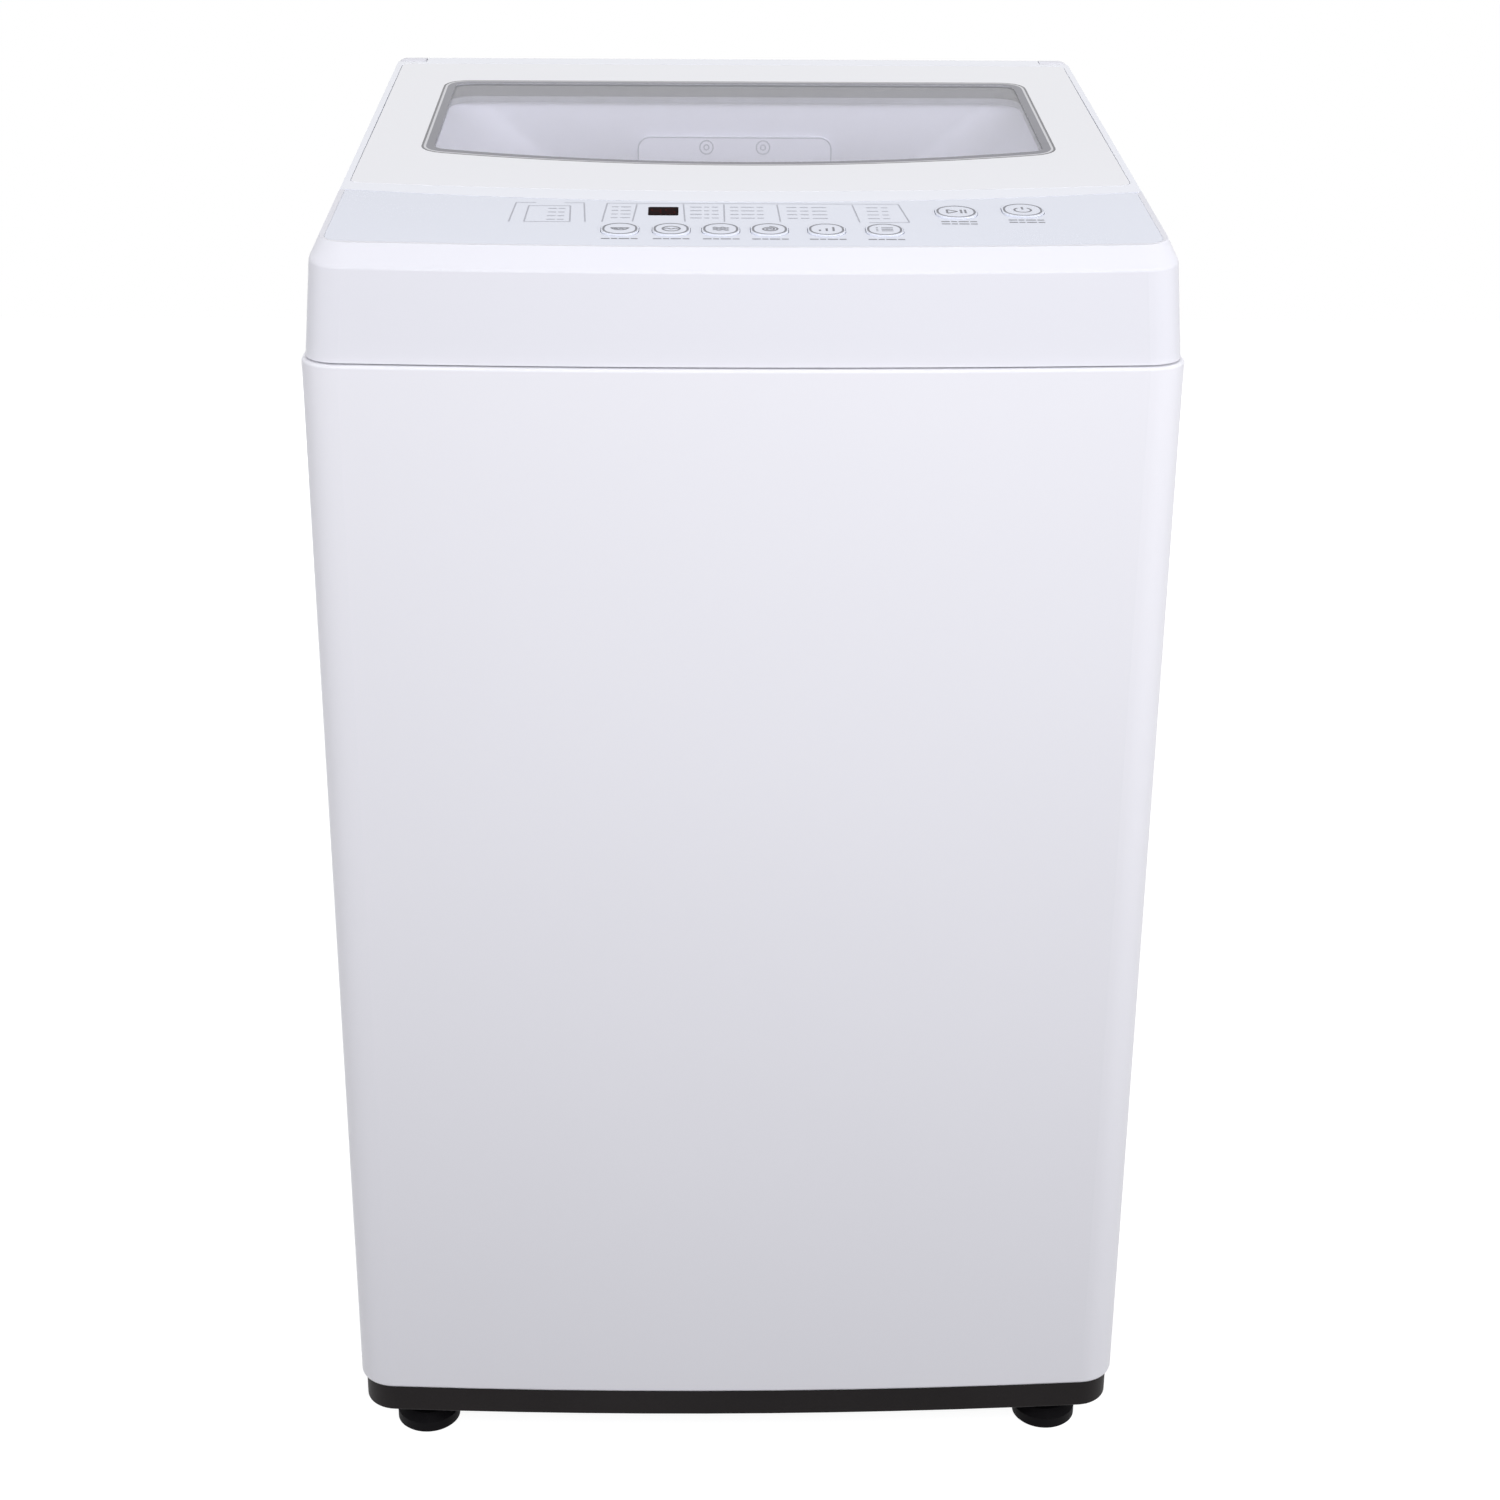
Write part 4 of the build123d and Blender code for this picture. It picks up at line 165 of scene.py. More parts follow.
def put_mesh(name, points, faces):
    """Make an object at the origin from an array of points and lists of faces."""
    mesh = bpy.data.meshes.new(name)
    corners = np.asarray(points, float).reshape(-1, 3).tolist()
    mesh.from_pydata(corners, [], [list(map(int, face)) for face in faces])
    mesh.validate()
    mesh.update()
    piece = bpy.data.objects.new(name, mesh)
    bpy.context.scene.collection.objects.link(piece)
    return piece


def grid_faces(rows, columns, wrap_rows=False, wrap_columns=False, start=0):
    """Quads between neighbours of a grid of points, its rows or columns closed on themselves if asked."""
    index = start + np.arange(rows * columns).reshape(rows, columns)
    if wrap_rows:
        index = np.vstack([index, index[:1]])
    if wrap_columns:
        index = np.hstack([index, index[:, :1]])
    corners = [index[:-1, :-1], index[:-1, 1:], index[1:, 1:], index[1:, :-1]]
    return np.stack(corners, axis=-1).reshape(-1, 4)


def on_deck(x, v, w):
    """Points at x across, v along and w above the sloping deck: the deck's front edge plus v along the slope
    and w square to it."""
    x, v, w = np.broadcast_arrays(np.asarray(x, float), v, w)
    y = DECK_Y + v * math.cos(SLOPE) - w * math.sin(SLOPE)
    z = DECK_Z + v * math.sin(SLOPE) + w * math.cos(SLOPE)
    return np.stack([x, y, z], axis=-1)


def corner_curve(start, corner, end, steps):
    """Rounded corner: the parabola from start to end whose sides aim at the corner."""
    t = np.linspace(0, 1, steps, endpoint=False)[:, None]
    start, corner, end = (np.asarray(point, float) for point in (start, corner, end))
    return (1 - t) ** 2 * start + 2 * t * (1 - t) * corner + t**2 * end


def bowed_loop(half, front, bow, rear, front_r, rear_r, steps=10, edge=40):
    """Closed outline, anticlockwise from above: straight sides and rear, a front edge that lies further back by
    bow times the square of the share of the half width, and four rounded corners."""
    x = np.linspace(front_r - half, half - front_r, edge, endpoint=False)
    front_edge = np.stack([x, front + bow * (x / half) ** 2], axis=1)
    turn_v = front + bow * (1 - front_r / half) ** 2
    side = np.linspace(front + bow + front_r, rear - rear_r, edge // 2, endpoint=False)
    right = np.stack([np.full_like(side, half), side], axis=1)
    back_x = np.linspace(half - rear_r, rear_r - half, edge, endpoint=False)
    back = np.stack([back_x, np.full_like(back_x, rear)], axis=1)
    left_side = np.linspace(rear - rear_r, front + bow + front_r, edge // 2, endpoint=False)
    left = np.stack([np.full_like(left_side, -half), left_side], axis=1)
    return np.concatenate([
        front_edge,
        corner_curve((half - front_r, turn_v), (half, front + bow), (half, front + bow + front_r), steps),
        right,
        corner_curve((half, rear - rear_r), (half, rear), (half - rear_r, rear), steps),
        back,
        corner_curve((rear_r - half, rear), (-half, rear), (-half, rear - rear_r), steps),
        left,
        corner_curve((-half, front + bow + front_r), (-half, front + bow), (front_r - half, turn_v), steps),
    ])


def ring_on_deck(name, outer, inner, low, high, edge=0.0, foot=1.0):
    """Flat ring between two outlines: at each point of the way round, a small closed section runs up the outer
    wall, over the top and down the inner wall, with the outer top edge cut back by edge. The inner wall's foot
    lies at a share of the way from the outer wall."""
    width = np.linalg.norm(outer - inner, axis=1, keepdims=True)
    cut = np.clip(edge / np.maximum(width, 1e-9), 0, 0.5)
    shares = [np.zeros_like(width), np.zeros_like(width), cut, np.ones_like(width), np.full_like(width, foot)]
    levels = [low, high - edge, high, high, low]
    rows = [outer + (inner - outer) * share for share in shares]
    points = np.stack([on_deck(row[:, 0], row[:, 1], level) for row, level in zip(rows, levels)])
    return put_mesh(name, points, grid_faces(len(levels), len(outer), wrap_rows=True, wrap_columns=True))


def plate_on_deck(name, lower, upper, low, high):
    """Plate: an outline on each of two levels, a face on each level and a wall between them."""
    count = len(upper)
    points = np.concatenate([on_deck(lower[:, 0], lower[:, 1], low), on_deck(upper[:, 0], upper[:, 1], high)])
    faces = grid_faces(2, count, wrap_columns=True).tolist()
    faces.append(list(range(count))[::-1])
    faces.append(list(range(count, 2 * count)))
    return put_mesh(name, points, faces)


def stroke_sheet(name, strokes, width, place):
    """Printed strokes: each is a line of points, and its two edges lie half the width to either side, square to
    the mean direction of the neighbouring points. place turns flat points into points in space."""
    points, faces, start = [], [], 0
    for stroke in strokes:
        line = np.asarray(stroke, float)
        ahead = np.gradient(line, axis=0)
        ahead /= np.maximum(np.linalg.norm(ahead, axis=1, keepdims=True), 1e-12)
        across = np.stack([ahead[:, 1], -ahead[:, 0]], axis=1) * width / 2
        flat = np.stack([line - across, line + across])
        points.append(place(flat[..., 0], flat[..., 1]).reshape(-1, 3))
        faces += grid_faces(2, len(line), start=start)[:, ::-1].tolist()
        start += 2 * len(line)
    return put_mesh(name, np.concatenate(points), faces)


# Shapes of the printed signs, in millimetres round their own middle


def straight(x0, y0, x1, y1):
    """A straight stroke between two points."""
    return np.array([[x0, y0], [(x0 + x1) / 2, (y0 + y1) / 2], [x1, y1]], float)


def arc(x, y, radius, start, end, steps=28, squash=1.0):
    """Part of a circle: the middle plus radius times cosine and sine of an angle that runs from start to end."""
    angle = np.radians(np.linspace(start, end, steps))
    return np.stack([x + radius * np.cos(angle), y + squash * radius * np.sin(angle)], axis=1)


def wave(x0, x1, y, height, waves, steps=40):
    """A ripple: height times the sine of an angle that grows evenly from x0 to x1."""
    x = np.linspace(x0, x1, steps)
    return np.stack([x, y + height * np.sin(2 * math.pi * waves * (x - x0) / (x1 - x0))], axis=1)


def spiral(first, last, turns, steps=60):
    """A spiral: the radius grows evenly with the angle."""
    t = np.linspace(0, 1, steps)
    angle = 2 * math.pi * turns * t
    radius = first + (last - first) * t
    return np.stack([radius * np.cos(angle), radius * np.sin(angle)], axis=1)


def key_outline(width, length, corner, inset, steps=9):
    """Closed rounded rectangle, moved in from the key's edge: quarter circles joined by straight sides."""
    half_w, half_l, radius = width / 2 - inset, length / 2 - inset, corner - inset
    quarters = []
    for start, sign_x, sign_y in ((0, 1, 1), (90, -1, 1), (180, -1, -1), (270, 1, -1)):
        middle = sign_x * (half_w - radius), sign_y * (half_l - radius)
        quarters.append(arc(*middle, radius, start, start + 90, steps))
    loop = np.concatenate(quarters)
    return np.vstack([loop, loop[:1]])


def word_line(x, y, lengths, gap):
    """A line of print too small to read: dashes of the given lengths, one after another."""
    starts = x + np.concatenate([[0], np.cumsum(np.asarray(lengths[:-1], float) + gap)])
    return [straight(start, y, start + length, y) for start, length in zip(starts, lengths)]


SIGNS = {
    "soak": [arc(0, 2.5, 5, 200, 340, squash=1.1), straight(-5.6, 1.6, 5.6, 1.6), wave(-3.4, 3.4, -0.6, 0.6, 2)],
    "wash": [arc(0, 0, 5, 0, 360, 40), wave(-3.8, 3.8, 0, 0.9, 1.5)],
    "rinse": [wave(-4.6, 4.6, 2.6, 0.8, 2), wave(-4.6, 4.6, 0, 0.8, 2), wave(-4.6, 4.6, -2.6, 0.8, 2)],
    "spin": [spiral(0.8, 5.2, 2.25)],
    "level": [straight(-4, -4, -4, -1), straight(0, -4, 0, 1.6), straight(4, -4, 4, 4.4)],
    "program": [straight(x0, y, x1, y) for x0, x1 in ((-1.8, 5), (-5, -3.8)) for y in (-3.2, 0, 3.2)],
    "start": [
        np.array([[-5.4, -4], [-5.4, 0], [-5.4, 4]]),
        straight(-5.4, 4, 0.8, 0),
        straight(0.8, 0, -5.4, -4),
        straight(3, -4, 3, 4),
        straight(5.6, -4, 5.6, 4),
    ],
    "power": [arc(0, -0.6, 5, 125, 415, 40), straight(0, 0.6, 0, 6)],
}
# Buttons: middle across and along the deck, width and length, in millimetres; the small ones stand in one row
SMALL_KEYS = {"soak": -73.0, "wash": -43.0, "rinse": -14.0, "spin": 14.5, "level": 48.0, "program": 82.0}
KEYS = {name: (x, 36.0, 22.0, 25.0) for name, x in SMALL_KEYS.items()}
KEYS.update(start=(127.5, 75.5, 25.0, 27.0), power=(168.0, 80.0, 25.0, 28.0))
# How far a button stands above the panel, and ink above what carries it
KEY_RISE = 0.0008
INK_LIFT = 0.00004
# Rear screws: radius of a head, and heads in each column
SCREW_HEAD = 0.0045
SCREW_ROWS = 4
# Their crossed slots: half width and half length, each from full depth to none
SLOT_HALF = (0.0005, 0.0007)
SLOT_REACH = (0.0023, 0.0026)

# Strokes that light in a seven bar digit, by bar: top, upper left, upper right, middle, lower left, lower right, low
DIGIT_BARS = {"4": "0111010", "5": "1101011"}


# Node building


def node(tree, kind, at=(0, 0), **values):
    """Add a node and set its own properties."""
    made = tree.nodes.new(kind)
    made.location = at
    for name, value in values.items():
        setattr(made, name, value)
    return made


def calc(tree, operation, first, second=None, third=None):
    """A Math node on sockets or numbers; returns its output."""
    made = node(tree, "ShaderNodeMath", operation=operation)
    for slot, value in enumerate((first, second, third)):
        if value is None:
            continue
        if isinstance(value, (int, float)):
            made.inputs[slot].default_value = value
        else:
            tree.links.new(value, made.inputs[slot])
    return made.outputs[0]


def blend_colours(tree, share, first, second):
    """A colour between two, by a share that changes over the surface."""
    made = node(tree, "ShaderNodeMix", data_type="RGBA")
    tree.links.new(share, made.inputs["Factor"])
    for name, value in (("A", first), ("B", second)):
        socket = next(s for s in made.inputs if s.name == name and s.type == "RGBA")
        if isinstance(value, (tuple, list)):
            socket.default_value = (*value[:3], 1.0)
        else:
            tree.links.new(value, socket)
    return next(s for s in made.outputs if s.type == "RGBA")


def spread(tree, value, low, high, to_low, to_high):
    """Map a range of values onto another, clamped."""
    made = node(tree, "ShaderNodeMapRange")
    tree.links.new(value, made.inputs["Value"])
    ends = (("From Min", low), ("From Max", high), ("To Min", to_low), ("To Max", to_high))
    for name, end in ends:
        if isinstance(end, (int, float)):
            made.inputs[name].default_value = end
        else:
            tree.links.new(end, made.inputs[name])
    return made.outputs["Result"]


def noise(tree, place, scale, detail=2.0, roughness=0.5):
    """Cloudy noise at a place; scale may be a socket."""
    made = node(tree, "ShaderNodeTexNoise")
    tree.links.new(place, made.inputs["Vector"])
    made.inputs["Detail"].default_value = detail
    made.inputs["Roughness"].default_value = roughness
    if isinstance(scale, (int, float)):
        made.inputs["Scale"].default_value = scale
    else:
        tree.links.new(scale, made.inputs["Scale"])
    return made.outputs["Fac"]


def own_place(tree):
    """The point on the piece itself, in metres."""
    return node(tree, "ShaderNodeTexCoord").outputs["Object"]


def split(tree, place):
    """The outputs for the three coordinates of a point."""
    made = node(tree, "ShaderNodeSeparateXYZ")
    tree.links.new(place, made.inputs["Vector"])
    return made.outputs


def stretched(tree, place, scale):
    """The same point with its three directions scaled."""
    made = node(tree, "ShaderNodeMapping")
    made.inputs["Scale"].default_value = scale
    tree.links.new(place, made.inputs["Vector"])
    return made.outputs["Vector"]


def new_group(name, inputs, outputs):
    """An empty node group with its sockets; returns the tree, its input node and its output node."""
    tree = bpy.data.node_groups.new(name, "ShaderNodeTree")
    for label, kind in inputs:
        tree.interface.new_socket(label, in_out="INPUT", socket_type=kind)
    for label, kind in outputs:
        tree.interface.new_socket(label, in_out="OUTPUT", socket_type=kind)
    return tree, node(tree, "NodeGroupInput", (-600, 0)), node(tree, "NodeGroupOutput", (600, 0))


FLOAT, COLOUR = "NodeSocketFloat", "NodeSocketColor"


def moulded_grain():
    """Group: a wide drift of shade and gloss, as in thick mouldings and stoved paint, and a fine pebble."""
    found = bpy.data.node_groups.get("Moulded Grain")
    if found:
        return found
    tree, given, result = new_group(
        "Moulded Grain",
        [("Colour", COLOUR), ("Shade", COLOUR), ("Drift Size", FLOAT), ("Pebble Size", FLOAT),
         ("Gloss Low", FLOAT), ("Gloss High", FLOAT)],
        [("Colour", COLOUR), ("Roughness", FLOAT), ("Height", FLOAT)],
    )
    place = own_place(tree)
    drift = noise(tree, place, given.outputs["Drift Size"], 3.0)
    share = spread(tree, drift, 0.3, 0.7, 0.0, 1.0)
    colours = blend_colours(tree, share, given.outputs["Colour"], given.outputs["Shade"])
    tree.links.new(colours, result.inputs["Colour"])
    pebble = noise(tree, place, given.outputs["Pebble Size"], 2.0, 0.6)
    mixed = calc(tree, "MULTIPLY_ADD", pebble, 0.5, calc(tree, "MULTIPLY", drift, 0.5))
    rough = spread(tree, mixed, 0.3, 0.7, given.outputs["Gloss Low"], given.outputs["Gloss High"])
    tree.links.new(rough, result.inputs["Roughness"])
    tree.links.new(pebble, result.inputs["Height"])
    return tree


def tool_lines():
    """Group: fine lines along a stretched direction, as on brushed, drawn and turned metal."""
    found = bpy.data.node_groups.get("Tool Lines")
    if found:
        return found
    tree, given, result = new_group(
        "Tool Lines",
        [("Place", "NodeSocketVector"), ("Colour", COLOUR), ("Shade", COLOUR), ("Line Size", FLOAT),
         ("Gloss Low", FLOAT), ("Gloss High", FLOAT)],
        [("Colour", COLOUR), ("Roughness", FLOAT), ("Height", FLOAT)],
    )
    lines = noise(tree, given.outputs["Place"], given.outputs["Line Size"], 4.0, 0.65)
    share = spread(tree, lines, 0.35, 0.65, 0.0, 1.0)
    colours = blend_colours(tree, share, given.outputs["Colour"], given.outputs["Shade"])
    tree.links.new(colours, result.inputs["Colour"])
    rough = spread(tree, lines, 0.3, 0.7, given.outputs["Gloss Low"], given.outputs["Gloss High"])
    tree.links.new(rough, result.inputs["Roughness"])
    tree.links.new(lines, result.inputs["Height"])
    return tree


def new_finish(name):
    """A material with a bare Principled shader; returns material, tree and shader."""
    finish = bpy.data.materials.new(name)
    finish.use_nodes = True
    tree = finish.node_tree
    tree.nodes.clear()
    shader = node(tree, "ShaderNodeBsdfPrincipled", (300, 0))
    out = node(tree, "ShaderNodeOutputMaterial", (620, 0))
    tree.links.new(shader.outputs["BSDF"], out.inputs["Surface"])
    return finish, tree, shader


def bump(tree, shader, height, strength, depth):
    """Raise the surface's normal by a height; depth is in metres."""
    made = node(tree, "ShaderNodeBump", (60, -240))
    made.inputs["Strength"].default_value = strength
    made.inputs["Distance"].default_value = depth
    tree.links.new(height, made.inputs["Height"])
    tree.links.new(made.outputs["Normal"], shader.inputs["Normal"])


def cover(tree, shader, colours, rough):
    """Feed a shader's colour and roughness."""
    tree.links.new(colours, shader.inputs["Base Color"])
    tree.links.new(rough, shader.inputs["Roughness"])


def use_group(tree, group, **values):
    """Place a node group and set its inputs; sockets are linked, numbers and colours are set."""
    made = node(tree, "ShaderNodeGroup", (-200, 0), node_tree=group)
    for name, value in values.items():
        socket = made.inputs[name.replace("_", " ").title()]
        if isinstance(value, bpy.types.NodeSocket):
            tree.links.new(value, socket)
        elif isinstance(value, (int, float)):
            socket.default_value = value
        else:
            socket.default_value = (*value[:3], 1.0)
    return made


def darker(colour, share):
    """The same colour, darker by a share."""
    return tuple(channel * (1 - share) for channel in colour[:3])


def moulding(name, colour, gloss, shade=0.04, drift=4.0, pebble=900.0, strength=0.06, coat=0.0, shine=0.5):
    """Finish of a moulded plastic piece: drifting shade and gloss, fine pebble, and a clear coat where polished."""
    finish, tree, shader = new_finish(name)
    grain = use_group(tree, moulded_grain(), colour=colour, shade=darker(colour, shade), drift_size=drift,
                      pebble_size=pebble, gloss_low=gloss * 0.85, gloss_high=gloss * 1.15)
    cover(tree, shader, grain.outputs["Colour"], grain.outputs["Roughness"])
    shader.inputs["Specular IOR Level"].default_value = shine
    shader.inputs["Coat Weight"].default_value = coat
    shader.inputs["Coat Roughness"].default_value = COAT_ROUGHNESS
    bump(tree, shader, grain.outputs["Height"], strength, PEBBLE_DEPTH)
    return finish


def metal(name, colour, gloss, along=(1.0, 1.0, 40.0), size=60.0, shade=0.18, strength=0.05):
    """Finish of a bare metal piece: fine lines stretched across one direction."""
    finish, tree, shader = new_finish(name)
    place = stretched(tree, own_place(tree), along)
    lines = use_group(tree, tool_lines(), place=place, colour=colour, shade=darker(colour, shade), line_size=size,
                      gloss_low=gloss * 0.8, gloss_high=gloss * 1.25)
    shader.inputs["Metallic"].default_value = 1.0
    cover(tree, shader, lines.outputs["Colour"], lines.outputs["Roughness"])
    bump(tree, shader, lines.outputs["Height"], strength, LINE_DEPTH)
    return finish


def drum_metal(name, colour):
    """Brushed drum wall with rows of painted wash holes: the angle round the drum and the height are cut into cells,
    every other row half a cell on, and a near-black dot of painted shade, in place of a hole, sits in the middle of
    each cell."""
    finish, tree, shader = new_finish(name)
    place = own_place(tree)
    lines = use_group(tree, tool_lines(), place=stretched(tree, place, (1.0, 1.0, 30.0)), colour=colour,
                      shade=darker(colour, 0.2), line_size=50.0, gloss_low=0.2, gloss_high=0.34)
    at = split(tree, place)
    angle = calc(tree, "ARCTAN2", at["Y"], at["X"])
    row = calc(tree, "DIVIDE", at["Z"], HOLE_ROW)
    shift = calc(tree, "MULTIPLY", calc(tree, "MODULO", calc(tree, "FLOOR", row), 2.0), 0.5)
    cell = calc(tree, "ADD", calc(tree, "MULTIPLY", angle, HOLES_ROUND / (2 * math.pi)), shift)
    across = calc(tree, "SUBTRACT", calc(tree, "FRACT", calc(tree, "ADD", cell, HOLES_ROUND)), 0.5)
    upward = calc(tree, "SUBTRACT", calc(tree, "FRACT", row), 0.5)
    squares = calc(tree, "ADD", calc(tree, "POWER", across, 2.0), calc(tree, "POWER", upward, 2.0))
    reach = calc(tree, "SQRT", squares)
    painted_hole_shade = spread(tree, reach, 0.095, 0.115, 1.0, 0.0)
    lip = spread(tree, reach, 0.1, 0.17, 0.0, 1.0)
    # Near-black dots: painted shade in place of holes through the drum wall.
    colours = blend_colours(tree, painted_hole_shade, lines.outputs["Colour"], (0.015, 0.015, 0.016))
    cover(tree, shader, colours, calc(tree, "MULTIPLY_ADD", painted_hole_shade, 0.5, lines.outputs["Roughness"]))
    shader.inputs["Metallic"].default_value = 1.0
    bump(tree, shader, lip, 0.5, HOLE_DEPTH)
    return finish


def slotted(name, colour):
    """Bright screw heads with a crossed driver slot: a point is in the slot where it lies near one middle line of its
    head and not far along the other. The slot is sunk a little by a bump and painted near black as the shade in its
    recess. The heads stand in two columns with evenly spaced rows."""
    finish, tree, shader = new_finish(name)
    low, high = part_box("rear_screws")
    column = high.x - SCREW_HEAD
    pitch = (high.z - low.z - 2 * SCREW_HEAD) / (SCREW_ROWS - 1)
    place = own_place(tree)
    lines = use_group(tree, tool_lines(), place=place, colour=colour, shade=darker(colour, 0.18), line_size=900.0,
                      gloss_low=0.22, gloss_high=0.35)
    at = split(tree, place)
    off_x = calc(tree, "ABSOLUTE", calc(tree, "SUBTRACT", calc(tree, "ABSOLUTE", at["X"]), column))
    row = calc(tree, "DIVIDE", calc(tree, "SUBTRACT", at["Z"], low.z + SCREW_HEAD - pitch / 2), pitch)
    off_row = calc(tree, "ABSOLUTE", calc(tree, "SUBTRACT", calc(tree, "FRACT", row), 0.5))
    off_z = calc(tree, "MULTIPLY", off_row, pitch)
    narrow = spread(tree, calc(tree, "MINIMUM", off_x, off_z), *SLOT_HALF, 1.0, 0.0)
    short = spread(tree, calc(tree, "MAXIMUM", off_x, off_z), *SLOT_REACH, 1.0, 0.0)
    slot = calc(tree, "MULTIPLY", narrow, short)
    # Near-black slot colour: painted shade in the recess of the slot.
    colours = blend_colours(tree, slot, lines.outputs["Colour"], (0.01, 0.01, 0.011))
    cover(tree, shader, colours, calc(tree, "MULTIPLY_ADD", slot, 0.4, lines.outputs["Roughness"]))
    shader.inputs["Metallic"].default_value = 1.0
    bump(tree, shader, calc(tree, "SUBTRACT", 1.0, slot), 0.5, HOLE_DEPTH)
    return finish


def zinc(name, colour):
    """Galvanised sheet: crystal patches of different grey with a fine grain."""
    finish, tree, shader = new_finish(name)
    place = own_place(tree)
    cells = node(tree, "ShaderNodeTexVoronoi")
    cells.inputs["Scale"].default_value = 70.0
    tree.links.new(place, cells.inputs["Vector"])
    patch = calc(tree, "MULTIPLY", cells.outputs["Distance"], 1.2)
    colours = blend_colours(tree, patch, colour, darker(colour, 0.35))
    cover(tree, shader, colours, spread(tree, patch, 0.0, 1.0, 0.3, 0.5))
    shader.inputs["Metallic"].default_value = 1.0
    bump(tree, shader, noise(tree, place, 500.0), 0.08, LINE_DEPTH)
    return finish


def board(name, colour):
    """Circuit board: lacquer with a net of lighter tracks, from the edges of square cells."""
    finish, tree, shader = new_finish(name)
    place = own_place(tree)
    cells = node(tree, "ShaderNodeTexVoronoi", distance="MANHATTAN", feature="F2")
    cells.inputs["Scale"].default_value = 160.0
    tree.links.new(place, cells.inputs["Vector"])
    track = spread(tree, cells.outputs["Distance"], 0.62, 0.66, 0.0, 1.0)
    light = tuple(min(1.0, channel * 1.9) for channel in colour[:3])
    colours = blend_colours(tree, track, colour, light)
    cover(tree, shader, colours, spread(tree, track, 0.0, 1.0, 0.42, 0.3))
    bump(tree, shader, track, 0.3, 0.0001)
    return finish


def ribbed(name, colour, pitch, gloss, metallic=0.0):
    """Fine level ribs, as on a laminated core or a belt: a sine of the height."""
    finish, tree, shader = new_finish(name)
    place = own_place(tree)
    at = split(tree, place)
    ribs = calc(tree, "SINE", calc(tree, "MULTIPLY", at["Z"], 2 * math.pi / pitch))
    share = spread(tree, ribs, -1.0, 1.0, 0.0, 1.0)
    grain = use_group(tree, moulded_grain(), colour=colour, shade=darker(colour, 0.3), drift_size=12.0,
                      pebble_size=900.0, gloss_low=gloss * 0.85, gloss_high=gloss * 1.2)
    colours = blend_colours(tree, share, darker(colour, 0.45), grain.outputs["Colour"])
    cover(tree, shader, colours, grain.outputs["Roughness"])
    shader.inputs["Metallic"].default_value = metallic
    bump(tree, shader, share, 0.4, pitch / 4)
    return finish


def clear_glass(name):
    """Clear tempered glass, tinted a little; lamps shine through it."""
    finish, tree, shader = new_finish(name)
    shader.inputs["Base Color"].default_value = (0.88, 0.88, 0.92, 1.0)
    shader.inputs["Transmission Weight"].default_value = 1.0
    shader.inputs["IOR"].default_value = 1.2
    haze = noise(tree, own_place(tree), 14.0, 3.0)
    tree.links.new(spread(tree, haze, 0.35, 0.65, 0.0, 0.03), shader.inputs["Roughness"])
    rays = node(tree, "ShaderNodeLightPath", (0, 300))
    passing = calc(tree, "MAXIMUM", rays.outputs["Is Shadow Ray"], rays.outputs["Is Diffuse Ray"])
    through = node(tree, "ShaderNodeBsdfTransparent", (300, 300))
    through.inputs["Color"].default_value = (0.93, 0.93, 0.97, 1.0)
    mixed = node(tree, "ShaderNodeMixShader", (480, 160))
    out = next(n for n in tree.nodes if n.type == "OUTPUT_MATERIAL")
    tree.links.new(passing, mixed.inputs["Fac"])
    tree.links.new(shader.outputs["BSDF"], mixed.inputs[1])
    tree.links.new(through.outputs["BSDF"], mixed.inputs[2])
    tree.links.new(mixed.outputs["Shader"], out.inputs["Surface"])
    return finish


def paint(solid, finish):
    """Give one solid a finish."""
    solid.data.materials.clear()
    solid.data.materials.append(finish)


def dress(finishes):
    """Give each solid the finish of its slot in the record."""
    for subpart in frame["record"]["subparts"]:
        finish = finishes.get(subpart["material_slot"])
        if finish:
            paint(frame["nodes"][subpart["node"]], finish)


def add_piece(piece, body, finish):
    """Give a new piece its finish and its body."""
    piece.data.materials.append(finish)
    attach(piece, body)


class WASHER_OT_cabinet(bpy.types.Operator):
    """Stoved enamel on the cabinet, thin coat on the rear panel, dark base and rubber feet"""

    bl_idname = "washer.cabinet"
    bl_label = "Cabinet, base and feet"

    def execute(self, context):
        colours = context.scene.washer_colours
        dress({
            "cabinet_paint": moulding(
                "Stoved enamel", colours.enamel, gloss=0.38, shade=0.015, drift=2.5, pebble=420.0, strength=0.012),
            "rear_sheet": moulding(
                "Thin rear coat", colours.rear_coat, gloss=0.45, shade=0.05, drift=5.0, pebble=600.0, strength=0.14),
            "base_plastic": moulding(
                "Dark base moulding", colours.base, gloss=0.55, shade=0.3, drift=9.0, pebble=1100.0,
                strength=0.2, shine=0.16),
            "foot_rubber": moulding(
                "Foot rubber", (0.006, 0.0055, 0.0065), gloss=0.6, shade=0.35, drift=30.0, pebble=1500.0,
                strength=0.25, shine=0.06),
        })
        return {"FINISHED"}


